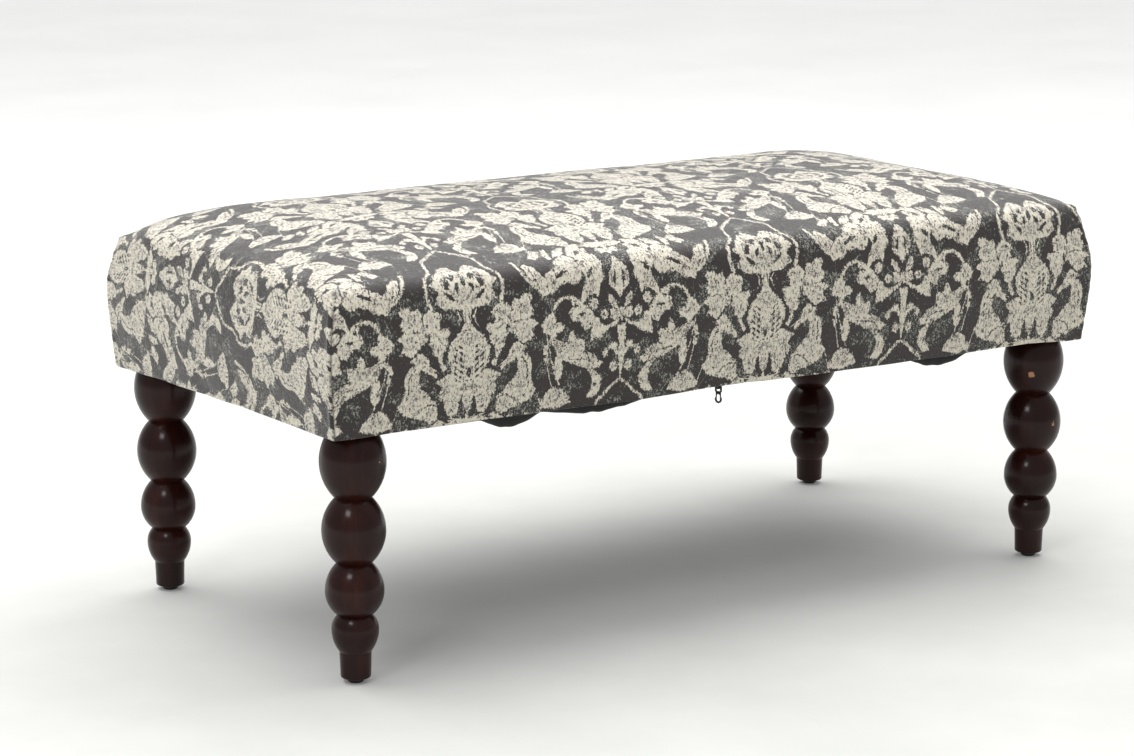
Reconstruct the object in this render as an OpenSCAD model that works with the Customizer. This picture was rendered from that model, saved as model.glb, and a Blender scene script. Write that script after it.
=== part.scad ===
// Upholstered bench: a padded, zip-covered seat box on four bead-turned legs.
// Millimetres. Origin on the floor under the middle of the seat, X along the
// length, Y from the front (-Y) to the back (+Y), Z up.

/* [Seat] */
// Length of the seat at its hem
body_w = 990; // [820:1:1150]
// Depth of the seat at its hem
body_d = 498; // [420:1:580]
// Height of the hem above the floor
hem_z = 264; // [245:1:290]
// Height of the sides, from the hem to the top edge
side_h = 150; // [140:1:180]
// Rise of the crown above the top edge
crown_h = 37; // [24:1:46]
// How far the sides swell beyond the hem
side_bulge = 6; // [2:0.5:9]
// Rounding of the edge between the sides and the top
edge_r = 26; // [18:1:34]
// Rounding of the four upright corners, seen from above
corner_r = 10; // [10:1:22]
// Further rounding of the four corners at the top edge
top_corner_r = 34; // [10:1:40]
// Thickness of the cover fabric
cover_t = 1.2; // [0.8:0.1:1.6]
// Width of the cover's turned-in hem flange
flange_w = 7; // [6:0.5:7.5]
// Thickness of the wadding over the foam
wadding_t = 8; // [6:0.5:10]
// Thickness of the black cloth under the seat
base_cloth_t = 0.8; // [0.5:0.1:1]
// Deepest sag of the black cloth behind the front hem
sag_depth = 20; // [8:1:26]
// Distance behind the zip at which the cloth hangs lowest
sag_reach = 15; // [12:1:22]

/* [Frame] */
// Distance from the hem outline to the outside of the frame
frame_inset = 8; // [8:0.5:9]
// Height of the frame's underside above the hem
frame_lift = 4; // [4:0.5:6]
// Thickness of the rails
rail_t = 18; // [16:1:22]
// Height of the outer rails
rail_h = 88; // [80:1:100]
// Height of the cross rails
cross_h = 60; // [50:1:75]
// Distance of each cross rail from the middle
cross_x = 160; // [130:5:185]
// Thickness of the plywood deck
deck_t = 9; // [8:1:12]
// Length of the corner blocks' short sides
block_w = 100; // [90:1:115]
// Height of the corner blocks
block_h = 30; // [26:1:38]

/* [Legs] */
// Distance from the hem's end to a leg's axis
leg_inset_x = 42.5; // [40:0.5:48]
// Distance from the hem's front or back to a leg's axis
leg_inset_y = 37.5; // [37:0.5:46]
// Radius of the collar at the top of a leg
leg_collar_r = 25; // [22:0.5:27]
// Largest radius of the first bead from the top
bead_1_r = 34.6; // [31:0.1:36]
// Largest radius of the second bead
bead_2_r = 33.2; // [30:0.1:36]
// Largest radius of the third bead
bead_3_r = 30.6; // [27:0.1:33]
// Largest radius of the fourth bead
bead_4_r = 24.5; // [22:0.1:27]
// Radius of the crease under the first bead
neck_1_r = 19; // [16:0.1:22]
// Radius of the creases under the second and third beads
neck_2_r = 18.2; // [15:0.1:21]
// Radius of the foot where it leaves the fourth bead
foot_top_r = 16.6; // [15.9:0.1:18]
// Radius of the foot above its rounded lower edge
foot_r = 15.8; // [14:0.1:16.5]
// Rounding of the foot's lower edge
foot_edge_r = 2; // [1:0.5:3]
// Distance from the hem down to the widest place of the first bead
bead_1_drop = 31; // [29:0.5:33]
// Distance from there down to the crease under the first bead
neck_1_drop = 38; // [36:0.5:40]
// Distance from that crease to the widest place of the second bead
bead_2_drop = 34; // [32:0.5:36]
// Distance from there down to the crease under the second bead
neck_2_drop = 34.5; // [32:0.5:36]
// Distance from that crease to the widest place of the third bead
bead_3_drop = 29.5; // [27:0.5:31]
// Distance from there down to the crease under the third bead
neck_3_drop = 25.3; // [23:0.1:27]
// Distance from that crease to the widest place of the fourth bead
bead_4_drop = 15.7; // [14:0.1:17]
// Distance from there down to the top of the foot
foot_drop = 23; // [21:0.5:25]
// Radius of the floor glides
glide_r = 8.5; // [7:0.5:11]
// Thickness of the floor glides
glide_h = 5; // [4:0.5:7]

/* [Fasteners] */
// Radius of the leg bolts
bolt_r = 4; // [3:0.5:5]
// Length of a leg bolt's part inside the leg
bolt_in_leg = 46; // [35:1:55]
// Radius of a tee nut's barrel
nut_barrel_r = 5.5; // [5.5:0.1:6.5]
// Length of a tee nut's barrel
nut_barrel_h = 15; // [11:1:20]
// Radius of a tee nut's flange
nut_flange_r = 11; // [9:0.5:12]
// Thickness of a tee nut's flange
nut_flange_t = 1.8; // [1.4:0.1:2.4]
// Radius of the wood screws
screw_r = 2; // [1.5:0.1:2.2]
// Radius of the wood screws' heads
screw_head_r = 4; // [3.2:0.1:4.4]
// Height of the wood screws' countersunk heads
screw_head_h = 2.6; // [2:0.1:3.2]
// Length of the screws through the rails
frame_screw_l = 40; // [34:1:50]
// Length of the screws through the corner blocks
block_screw_l = 50; // [44:1:56]
// Length of the screws through the deck
deck_screw_l = 30; // [24:1:40]
// Radius of the glide nails
nail_r = 1.1; // [0.8:0.1:1.4]
// Radius of the glide nails' heads
nail_head_r = 3; // [2:0.1:3.6]
// Length of a glide nail inside the foot
nail_in_leg = 14; // [10:1:18]

/* [Zip] */
// Distance between each end of the zip and the collar of the nearest leg
zip_leg_gap = 21.5; // [12:0.5:100]
// Distance from the front hem to the middle of the zip
zip_inset = 12; // [12:0.5:13]
// Distance of the slider from the middle of the bench
slider_x = -15; // [-260:1:260]
// Thickness of the zip tapes
tape_t = 0.6; // [0.4:0.1:0.8]
// Width of each zip tape
tape_w = 8; // [6:0.5:8]
// Width of each row of the zip's coil
coil_w = 1.6; // [1.2:0.1:1.8]
// Height of the zip's coil
coil_h = 1.6; // [1.4:0.1:1.8]
// Space between the two rows of the coil
coil_gap = 1.6; // [1.4:0.1:2]
// Length of the end stops
stop_l = 4; // [3:0.5:6]
// Length of the slider
slider_l = 11; // [9:0.5:13]
// Width of the slider
slider_w = 8; // [7.6:0.1:8.2]
// Thickness of the slider's two plates
slider_plate_t = 1; // [0.8:0.1:1.2]
// Length of the slider's bridge
bridge_l = 5.2; // [5:0.1:6]
// Width of the slider's bridge
bridge_w = 1.8; // [1.4:0.1:1.9]
// Thickness of the slider's bridge
bridge_t = 1.4; // [1:0.1:1.6]
// Height of the gap under the slider's bridge
bridge_gap = 2; // [1.9:0.1:2.4]
// Length of a foot of the slider's bridge
bridge_foot_l = 0.8; // [0.6:0.1:0.9]
// Length of the pull from its ring bar to its end
pull_l = 18; // [16:1:30]
// Width of the pull
pull_w = 8.2; // [7.6:0.1:9]
// Width of the pull's neck
pull_neck_w = 6; // [5.2:0.1:7]
// Thickness of the pull
pull_t = 1.3; // [1:0.1:1.4]
// Width of the window through which the bridge passes
ring_w = 4.6; // [4.5:0.1:4.8]
// Length of the window through which the bridge passes
ring_l = 4.2; // [4.1:0.1:4.8]
// Width of the finger hole in the pull
pull_hole_w = 4.4; // [3:0.1:5]
// Length of the finger hole in the pull
pull_hole_l = 8; // [6:0.5:9]

/* [Clearances] */
// Clearance round soft pieces
soft_gap = 0.3; // [0.2:0.05:0.4]
// Clearance round screws, bolts and nails in their holes
fit_gap = 0.05; // [0.02:0.01:0.08]
// Clearance round the moving zip slider
slide_gap = 0.2; // [0.15:0.05:0.3]

/* [Hidden] */

$fn = 64;
// One overrun for every cut and lap
over = 1;

// Heights of the main layers
frame_z = hem_z + frame_lift;
rail_top = frame_z + rail_h;
deck_top = rail_top + deck_t;
edge_z = hem_z + side_h;

// Half sizes of the hem outline, of the frame and of the space inside the rails
half_w = body_w / 2;
half_d = body_d / 2;
frame_x = half_w - frame_inset;
frame_y = half_d - frame_inset;
inner_x = frame_x - rail_t;
inner_y = frame_y - rail_t;
frame_corner_r = corner_r - frame_inset;

// Places of the legs
leg_x = half_w - leg_inset_x;
leg_y = half_d - leg_inset_y;

// Section of the padded seat, from the hem up and over to the middle.
// The shares of the side are heights between the hem and the shoulder, and
// the shares of the crown are distances from the edge towards the middle.
side_shares = [0, 0.14, 0.3, 0.48, 0.66, 0.84];
bulge_power_share = 1.25;
edge_angle_shares = [0.2, 0.45, 0.72, 1];
crown_shares = [0.14, 0.22, 0.32, 0.44, 0.58, 0.72, 0.86];
crown_power_share = 2.9;
corner_growth_share = 0.3;
roundest_share = 0.9;
corner_steps = 6;

// Height of the crown at a distance d inside the top edge
function crown_z(d) = edge_z + crown_h * (1 - pow(1 - d / half_d, crown_power_share));

edge_turn = 90 - atan(crown_h * crown_power_share / half_d);
edge_in = edge_r * (1 - cos(edge_turn));
shoulder_z = crown_z(edge_in) - edge_r * sin(edge_turn);

// Inset and height of each ring of the seat's outside
section = concat(
  [for (s = side_shares)
    [-side_bulge * sin(180 * pow(s, bulge_power_share)), hem_z + s * (shoulder_z - hem_z)]],
  [for (s = edge_angle_shares)
    [edge_r * (1 - cos(s * edge_turn)), shoulder_z + edge_r * sin(s * edge_turn)]],
  [for (s = crown_shares) [s * half_d, crown_z(s * half_d)]]
);
last = len(section) - 1;

// The corners grow rounder above the highest ring of the side. The share is
// the power of that growth.
round_power_share = 1.5;
round_low_z = section[len(side_shares) - 1][1];
round_high_z = section[len(side_shares) + len(edge_angle_shares) - 1][1];

// Direction from the hem to the middle along the section at ring i
function run(i) = section[min(i + 1, last)] - section[max(i - 1, 0)];

// Ring i moved inward by t, square to the surface, and no nearer than floor_in to the hem outline
function inner_point(i, t, floor_in) =
  let (v = run(i), l = norm(v))
  [max(section[i][0] + t * v[1] / l, floor_in), section[i][1] - t * v[0] / l];

// Plan radius of ring i, for a surface whose inset there is d
function ring_r(i, d, least) =
  let (t = (section[i][1] - round_low_z) / (round_high_z - round_low_z),
       grown = top_corner_r * pow(min(max(t, 0), 1), round_power_share))
  max(corner_r + grown + corner_growth_share * max(section[i][0], 0) - (d - section[i][0]), least);

// A rounded rectangle of points with inset d, plan radius r and height z
function rounded_ring(d, r, z) =
  let (hx = half_w - d, hy = half_d - d, rr = min(r, hy * roundest_share))
  [for (q = [0 : 3]) for (s = [0 : corner_steps])
    let (a = 90 * (q + s / corner_steps),
         sx = (q == 0 || q == 3) ? 1 : -1,
         sy = (q < 2) ? 1 : -1)
    [sx * (hx - rr) + rr * cos(a), sy * (hy - rr) + rr * sin(a), z]];

// Ring i of a surface that lies t inside the seat's outside
function seat_ring(i, t, floor_in, least) =
  let (p = inner_point(i, t, floor_in))
  rounded_ring(p[0], ring_r(i, p[0], least), p[1]);

// A closed solid through rings of equally many points, capped at both ends
module loft(rings) {
  n = len(rings[0]);
  m = len(rings);
  points = [for (ring = rings) for (p = ring) p];
  walls = [for (k = [0 : m - 2]) for (j = [0 : n - 1])
    let (a = k * n + j, b = k * n + (j + 1) % n)
    each [[a, b, b + n], [a, b + n, a + n]]];
  first_cap = [for (j = [n - 1 : -1 : 0]) j];
  last_cap = [for (j = [0 : n - 1]) (m - 1) * n + j];
  polyhedron(points, concat([first_cap], walls, [last_cap]));
}

// A rectangle with rounded corners, centred
module rounded_rectangle(w, d, r) {
  square([w - 2 * r, d], center = true);
  square([w, d - 2 * r], center = true);
  for (sx = [-1, 1], sy = [-1, 1])
    translate([sx * (w / 2 - r), sy * (d / 2 - r)]) circle(r = r);
}

// A plate with rounded corners, centred, standing on z = 0
module rounded_plate(w, d, r, h) {
  linear_extrude(height = h) rounded_rectangle(w, d, r);
}

// What stands in the corner at +X and +Y, carried to another corner
module to_corner(sx, sy) {
  mirror([sx < 0 ? 1 : 0, 0, 0]) mirror([0, sy < 0 ? 1 : 0, 0]) children();
}
both = [-1, 1];
corners = [[-1, -1], [1, -1], [-1, 1], [1, 1]];

// Soft layers

// Fabric cover: crowned top, swelling sides and a flange turned in under the hem
module cover() {
  inner_hem_z = hem_z + cover_t;
  color("gray") loft(concat(
    [for (i = [last : -1 : 0]) seat_ring(i, 0, -side_bulge, 0)],
    [rounded_ring(flange_w, corner_r - flange_w, hem_z)],
    [rounded_ring(flange_w, corner_r - flange_w, inner_hem_z)],
    [rounded_ring(cover_t, corner_r - cover_t, inner_hem_z)],
    [for (i = [1 : last]) seat_ring(i, cover_t, -side_bulge, 0)]
  ));
}

// Wadding that wraps the foam, the deck's edge and the outside of the frame
module wadding() {
  outer_t = cover_t + soft_gap;
  inner_t = outer_t + wadding_t;
  inner_in = frame_inset - soft_gap;
  inner_r = frame_corner_r + soft_gap;
  low_z = hem_z + cover_t + tape_t + soft_gap;
  color("white") loft(concat(
    [for (i = [last : -1 : 1]) seat_ring(i, outer_t, -side_bulge, 0)],
    [rounded_ring(outer_t, corner_r - outer_t, low_z)],
    [rounded_ring(inner_in, inner_r, low_z)],
    [for (i = [1 : last]) seat_ring(i, inner_t, inner_in, inner_r)]
  ));
}

// Foam block, crowned on top, with its sides in line with the frame
module foam_core() {
  foam_t = cover_t + soft_gap + wadding_t + soft_gap;
  low_z = deck_top + soft_gap;
  used = [for (i = [last : -1 : 0]) if (inner_point(i, foam_t, frame_inset)[1] > low_z + deck_t) i];
  color("khaki") loft(concat(
    [for (i = used) seat_ring(i, foam_t, frame_inset, frame_corner_r)],
    [rounded_ring(frame_inset, frame_corner_r, low_z)]
  ));
}

// Timber frame

// Places of the screws. A screw stands at z = 0 with its tip down.
rail_screw_z = [frame_z + rail_h / 4, frame_z + 3 * rail_h / 4];
cross_screw_z = [rail_top - cross_h / 4, rail_top - 3 * cross_h / 4];
block_screw_share = 0.24;
block_screw_shift = block_w * block_screw_share;
deck_screw_shares = [-0.84, -0.42, 0, 0.42, 0.84];
deck_screw_x = [for (s = deck_screw_shares) s * frame_x];
end_screw_y = inner_y / 2;
cross_screw_y = inner_y / 3;

module at_rail_screws(ends, sides) {
  for (sx = ends, sy = sides, z = rail_screw_z)
    translate([sx * (frame_x - rail_t / 2), sy * frame_y, z]) rotate([-90 * sy, 0, 0]) children();
}

module at_cross_screws(ends, sides) {
  for (sx = ends, sy = sides, z = cross_screw_z)
    translate([sx * cross_x, sy * frame_y, z]) rotate([-90 * sy, 0, 0]) children();
}

module at_block_screws(ends, sides) {
  for (sx = ends, sy = sides, v = [-1, 1] * block_screw_shift)
    to_corner(sx, sy)
      translate([inner_x - block_w / 2 - v, inner_y - block_w / 2 + v, frame_z + block_h / 2])
        rotate([90, 0, -45]) children();
}

module at_long_deck_screws(sides) {
  for (sy = sides, x = deck_screw_x)
    translate([x, sy * (frame_y - rail_t / 2), deck_top]) children();
}

module at_end_deck_screws(ends) {
  for (sx = ends, sy = both)
    translate([sx * (frame_x - rail_t / 2), sy * end_screw_y, deck_top]) children();
}

module at_cross_deck_screws(ends) {
  for (sx = ends, sy = both)
    translate([sx * cross_x, sy * cross_screw_y, deck_top]) children();
}

// A countersunk wood screw of length l whose head's face is sunk just below z = 0
module screw(l) {
  rotate_extrude() polygon([
    [0, -fit_gap],
    [screw_head_r, -fit_gap],
    [screw_r, -fit_gap - screw_head_h],
    [screw_r, -l + 2 * screw_r],
    [0, -l]
  ]);
}

// The hole for such a screw: the same outline with clearance all round
module screw_hole(l) {
  rotate_extrude() polygon([
    [0, over],
    [screw_head_r + fit_gap, over],
    [screw_head_r + fit_gap, -fit_gap],
    [screw_r + fit_gap, -fit_gap - screw_head_h],
    [screw_r + fit_gap, -l + 2 * screw_r],
    [0, -l - fit_gap]
  ]);
}

// A long rail runs the whole length and has its outer corners rounded
module long_rail(sy) {
  color("burlywood") difference() {
    intersection() {
      translate([0, 0, frame_z]) rounded_plate(2 * frame_x, 2 * frame_y, frame_corner_r, rail_h);
      translate([-frame_x, sy * (frame_y - rail_t / 2) - rail_t / 2, frame_z])
        cube([2 * frame_x, rail_t, rail_h]);
    }
    at_rail_screws(both, [sy]) screw_hole(frame_screw_l);
    at_cross_screws(both, [sy]) screw_hole(frame_screw_l);
    at_block_screws(both, [sy]) screw_hole(block_screw_l);
    at_long_deck_screws([sy]) screw_hole(deck_screw_l);
  }
}

// An end rail fits between the two long rails
module end_rail(sx) {
  color("tan") difference() {
    translate([sx * (frame_x - rail_t / 2) - rail_t / 2, -inner_y, frame_z])
      cube([rail_t, 2 * inner_y, rail_h]);
    at_rail_screws([sx], both) screw_hole(frame_screw_l);
    at_block_screws([sx], both) screw_hole(block_screw_l);
    at_end_deck_screws([sx]) screw_hole(deck_screw_l);
  }
}

// A cross rail holds up the deck between the long rails
module cross_rail(sx) {
  color("tan") difference() {
    translate([sx * cross_x - rail_t / 2, -inner_y, rail_top - cross_h])
      cube([rail_t, 2 * inner_y, cross_h]);
    at_cross_screws([sx], both) screw_hole(frame_screw_l);
    at_cross_deck_screws([sx]) screw_hole(deck_screw_l);
  }
}

// A three-cornered block stiffens each corner and carries a leg's tee nut
module corner_block(sx, sy) {
  color("peru") difference() {
    to_corner(sx, sy) translate([0, 0, frame_z]) difference() {
      linear_extrude(height = block_h) polygon([
        [inner_x, inner_y],
        [inner_x - block_w, inner_y],
        [inner_x, inner_y - block_w]
      ]);
      translate([leg_x, leg_y, -over])
        cylinder(r = bolt_r + soft_gap, h = block_h + 2 * over);
      translate([leg_x, leg_y, block_h - nut_barrel_h - fit_gap])
        cylinder(r = nut_barrel_r + fit_gap, h = nut_barrel_h + over);
    }
    at_block_screws([sx], [sy]) screw_hole(block_screw_l);
  }
}

// Plywood deck under the foam
module deck_board() {
  color("wheat") difference() {
    translate([0, 0, rail_top]) rounded_plate(2 * frame_x, 2 * frame_y, frame_corner_r, deck_t);
    at_long_deck_screws(both) screw_hole(deck_screw_l);
    at_end_deck_screws(both) screw_hole(deck_screw_l);
    at_cross_deck_screws(both) screw_hole(deck_screw_l);
  }
}

module frame_screws() {
  color("silver") {
    at_rail_screws(both, both) screw(frame_screw_l);
    at_cross_screws(both, both) screw(frame_screw_l);
  }
}

module block_screws() {
  color("silver") at_block_screws(both, both) screw(block_screw_l);
}

module deck_screws() {
  color("silver") {
    at_long_deck_screws(both) screw(deck_screw_l);
    at_end_deck_screws(both) screw(deck_screw_l);
    at_cross_deck_screws(both) screw(deck_screw_l);
  }
}

// Turned legs

bead_1_z = hem_z - bead_1_drop;
neck_1_z = bead_1_z - neck_1_drop;
bead_2_z = neck_1_z - bead_2_drop;
neck_2_z = bead_2_z - neck_2_drop;
bead_3_z = neck_2_z - bead_3_drop;
neck_3_z = bead_3_z - neck_3_drop;
bead_4_z = neck_3_z - bead_4_drop;
foot_top_z = bead_4_z - foot_drop;

// Half of a bead's outline: an arc from its widest place at z = zb, radius rb,
// to a crease at z = zn, radius rn, upright where the bead is widest. It runs
// on past the crease into its neighbour.
module half_bead(rb, zb, rn, zn) {
  h = abs(zb - zn);
  c = (rn * rn + h * h - rb * rb) / (2 * (rn - rb));
  intersection() {
    translate([c, zb]) circle(r = rb - c, $fn = 160);
    translate([0, min(zb, zn - over)]) square([rb, h + over]);
  }
}

// Outline of a leg: four beads between creases on a core, a collar on top and a
// tapered foot with a rounded lower edge
module leg_outline() {
  core_z = (foot_top_z + glide_h) / 2;
  collar_lap = frame_lift / 2;
  foot_flat_r = foot_r - foot_edge_r;
  taper = (foot_top_r - foot_r) / (foot_top_z - glide_h - foot_edge_r);
  polygon(concat(
    [[0, glide_h]],
    [for (a = [0 : 15 : 90])
      [foot_flat_r + foot_edge_r * sin(a), glide_h + foot_edge_r * (1 - cos(a))]],
    [[foot_top_r + taper * over, foot_top_z + over], [0, foot_top_z + over]]
  ));
  translate([0, core_z]) square([foot_flat_r, frame_z - core_z]);
  translate([0, hem_z - collar_lap]) square([leg_collar_r, frame_lift + collar_lap]);
  half_bead(bead_1_r, bead_1_z, leg_collar_r, hem_z);
  half_bead(bead_1_r, bead_1_z, neck_1_r, neck_1_z);
  half_bead(bead_2_r, bead_2_z, neck_1_r, neck_1_z);
  half_bead(bead_2_r, bead_2_z, neck_2_r, neck_2_z);
  half_bead(bead_3_r, bead_3_z, neck_2_r, neck_2_z);
  half_bead(bead_3_r, bead_3_z, neck_2_r, neck_3_z);
  half_bead(bead_4_r, bead_4_z, neck_2_r, neck_3_z);
  half_bead(bead_4_r, bead_4_z, foot_top_r, foot_top_z);
}

module leg(sx, sy) {
  color("#3a1c16") translate([sx * leg_x, sy * leg_y, 0]) difference() {
    rotate_extrude() leg_outline();
    translate([0, 0, frame_z - bolt_in_leg - fit_gap])
      cylinder(r = bolt_r + fit_gap, h = bolt_in_leg + fit_gap + over);
    translate([0, 0, glide_h - over])
      cylinder(r = nail_r + fit_gap, h = nail_in_leg + fit_gap + over);
  }
}

// Hanger bolts: pointed wood thread below, blunt machine thread above
module leg_bolts() {
  thread_top = frame_z + block_h + nut_flange_t + bolt_r / 2;
  relief = bolt_r / 8;
  color("silver") for (c = corners) translate([c[0] * leg_x, c[1] * leg_y, 0])
    rotate_extrude() polygon([
      [0, frame_z - bolt_in_leg],
      [bolt_r, frame_z - bolt_in_leg + 2 * bolt_r],
      [bolt_r, frame_z - bolt_r],
      [bolt_r - relief, frame_z - bolt_r + relief],
      [bolt_r - relief, frame_z + bolt_r - relief],
      [bolt_r, frame_z + bolt_r],
      [bolt_r, thread_top - relief],
      [bolt_r - relief, thread_top],
      [0, thread_top]
    ]);
}

// Tee nuts: a barrel let into each corner block and a round flange on top of it
module tee_nuts() {
  block_top = frame_z + block_h;
  color("silver") for (c = corners) translate([c[0] * leg_x, c[1] * leg_y, 0])
    difference() {
      union() {
        translate([0, 0, block_top - nut_barrel_h]) cylinder(r = nut_barrel_r, h = nut_barrel_h);
        translate([0, 0, block_top]) cylinder(r = nut_flange_r, h = nut_flange_t);
      }
      translate([0, 0, block_top - nut_barrel_h - over])
        cylinder(r = bolt_r + fit_gap, h = nut_barrel_h + nut_flange_t + 2 * over);
    }
}

// Floor glide with a rounded-off lower edge and a countersunk hole for its nail
nail_head_t = glide_h / 4;
nail_sink = glide_h / 8;
module floor_glide(sx, sy) {
  glide_edge = glide_h / 4;
  color("#1b1512") translate([sx * leg_x, sy * leg_y, 0]) difference() {
    rotate_extrude() polygon([
      [0, 0],
      [glide_r - glide_edge, 0],
      [glide_r, glide_edge],
      [glide_r, glide_h],
      [0, glide_h]
    ]);
    translate([0, 0, -over])
      cylinder(r = nail_head_r + fit_gap, h = nail_sink + nail_head_t + fit_gap + over);
    cylinder(r = nail_r + fit_gap, h = glide_h + over);
  }
}

module glide_nails() {
  color("dimgray") for (c = corners) translate([c[0] * leg_x, c[1] * leg_y, 0])
    rotate_extrude() polygon([
      [0, nail_sink],
      [nail_head_r, nail_sink],
      [nail_head_r, nail_sink + nail_head_t],
      [nail_r, nail_sink + nail_head_t],
      [nail_r, glide_h + nail_in_leg - 2 * nail_r],
      [0, glide_h + nail_in_leg]
    ]);
}

// Underside: black cloth with the zip along its front edge

// Levels: the cloth's top is level with the top of the cover's flange, and
// the zip tapes lie on both
tape_z = hem_z + cover_t;
cloth_z = tape_z - base_cloth_t;
zip_y = -(half_d - zip_inset);
zip_half = leg_x - leg_collar_r - zip_leg_gap;
zip_w = 2 * zip_half;
coil_half = coil_gap / 2 + coil_w;
slot_half = zip_inset - flange_w;
coil_z = tape_z + tape_t - coil_h;
cloth_in = flange_w + soft_gap;

// Sags of the cloth: place along the bench and half width, as shares of its
// half length, and depth, as a share of the deepest sag
sag_shares = [[-0.55, 0.13, 0.85], [-0.32, 0.16, 0.75], [0.66, 0.13, 1]];
// Distances of the rows of points behind the zip, as shares of the sag's reach
row_shares = [0, 0.45, 1, 1.7, 2.6, 4, 6.5];
last_row = row_shares[len(row_shares) - 1];
sag_columns = 40;
sag_y = zip_y + coil_half + tape_w;
sag_w = zip_w;

// Depth of the sag at x and at a share t of the reach behind the zip
function sag(x, t) = sag_depth * t * exp(1 - t) * (1 - t / last_row) * max([for (s = sag_shares)
  let (u = abs(x / half_w - s[0]) / s[1]) u < 1 ? s[2] * (1 + cos(180 * u)) / 2 : 0]);

// A sheet of thickness t whose underside passes through a grid of points
module sheet(grid, t) {
  m = len(grid);
  n = len(grid[0]);
  under = [for (row = grid) each row];
  upper = [for (p = under) p + [0, 0, t]];
  up = m * n;
  far = (m - 1) * n;
  inner = [for (i = [0 : m - 2], j = [0 : n - 2]) i * n + j];
  quads = concat(
    [for (k = inner) [k, k + n, k + n + 1, k + 1]],
    [for (k = inner) [k + up, k + up + 1, k + up + n + 1, k + up + n]],
    [for (i = [0 : m - 2]) let (k = i * n) [k, k + up, k + up + n, k + n]],
    [for (i = [0 : m - 2]) let (k = i * n + n - 1) [k, k + n, k + up + n, k + up]],
    [for (k = [0 : n - 2]) [k + 1, k + 1 + up, k + up, k]],
    [for (j = [0 : n - 2]) let (k = far + j) [k, k + up, k + up + 1, k + 1]]
  );
  polyhedron(concat(under, upper),
    [for (q = quads) each [[q[0], q[1], q[2]], [q[0], q[2], q[3]]]]);
}

// Black cloth: a flat sheet with a slot for the zip and holes for the legs,
// and a strip behind the zip that hangs slack
module base_cloth() {
  color("#161616") {
    translate([0, 0, cloth_z]) linear_extrude(height = base_cloth_t) difference() {
      rounded_rectangle(body_w - 2 * cloth_in, body_d - 2 * cloth_in, corner_r - cloth_in);
      translate([-zip_half - soft_gap, -half_d]) square([zip_w + 2 * soft_gap, zip_inset + slot_half]);
      translate([-sag_w / 2, sag_y]) square([sag_w, last_row * sag_reach]);
      for (c = corners) translate([c[0] * leg_x, c[1] * leg_y]) circle(r = leg_collar_r + soft_gap);
    }
    sheet([for (k = [0 : sag_columns]) let (x = (k / sag_columns - 1 / 2) * sag_w)
      [for (t = row_shares) [x, sag_y + t * sag_reach, cloth_z - sag(x, t)]]], base_cloth_t);
  }
}

module zip_tape(sy) {
  color("#101010") translate([-zip_half, zip_y + (sy < 0 ? -coil_half - tape_w : coil_half), tape_z])
    cube([zip_w, tape_w, tape_t]);
}

module zip_coil(sy) {
  half = zip_half - stop_l;
  color("#0c0c0c") translate([-half, zip_y + (sy < 0 ? -coil_half : coil_gap / 2), coil_z])
    cube([2 * half, coil_w, coil_h]);
}

// A clamped stop closes each end of the coil
module zip_stops() {
  color("#222222") for (sx = [-1, 1])
    translate([sx * (zip_half - stop_l / 2) - stop_l / 2, zip_y - coil_half, coil_z])
      cube([stop_l, 2 * coil_half, coil_h]);
}

// Levels of the slider
slider_top = tape_z + tape_t + slide_gap;
slider_low = coil_z - slide_gap - slider_plate_t;
pivot_z = slider_low - bridge_gap / 2;
bridge_z = slider_low - bridge_gap - bridge_t;

// Outline of a slider plate: square at the closed end, drawn in at the open end
module slider_outline() {
  nose = slider_w / 4;
  polygon([
    [-slider_l / 2, -slider_w / 2],
    [slider_l / 2 - nose, -slider_w / 2],
    [slider_l / 2, -nose],
    [slider_l / 2, nose],
    [slider_l / 2 - nose, slider_w / 2],
    [-slider_l / 2, slider_w / 2]
  ]);
}

// Slider: two plates joined by a wedge between the coil's rows, side flanges
// that hold the coil, and a bridge for the pull
module zip_slider() {
  wedge_w = coil_gap - 2 * slide_gap;
  wedge_l = slider_l / 3;
  flange_in = coil_half + slide_gap;
  flange_top = tape_z - slide_gap;
  flange_t = slider_w / 2 - flange_in;
  color("#1a1a1a") translate([slider_x, zip_y, 0]) {
    translate([0, 0, slider_low]) linear_extrude(height = slider_plate_t) slider_outline();
    translate([0, 0, slider_top]) linear_extrude(height = slider_plate_t) slider_outline();
    translate([slider_l / 2 - wedge_l, -wedge_w / 2, slider_low])
      cube([wedge_l, wedge_w, slider_top - slider_low + slider_plate_t]);
    for (sy = [-1, 1])
      translate([-slider_l / 2, sy * (flange_in + flange_t / 2) - flange_t / 2, slider_low])
        cube([slider_l * 3 / 4, flange_t, flange_top - slider_low]);
    translate([-bridge_l / 2, -bridge_w / 2, bridge_z]) cube([bridge_l, bridge_w, bridge_t]);
    for (sx = [-1, 1])
      translate([sx * (bridge_l - bridge_foot_l) / 2 - bridge_foot_l / 2, -bridge_w / 2, bridge_z])
        cube([bridge_foot_l, bridge_w, slider_low - bridge_z]);
  }
}

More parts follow.
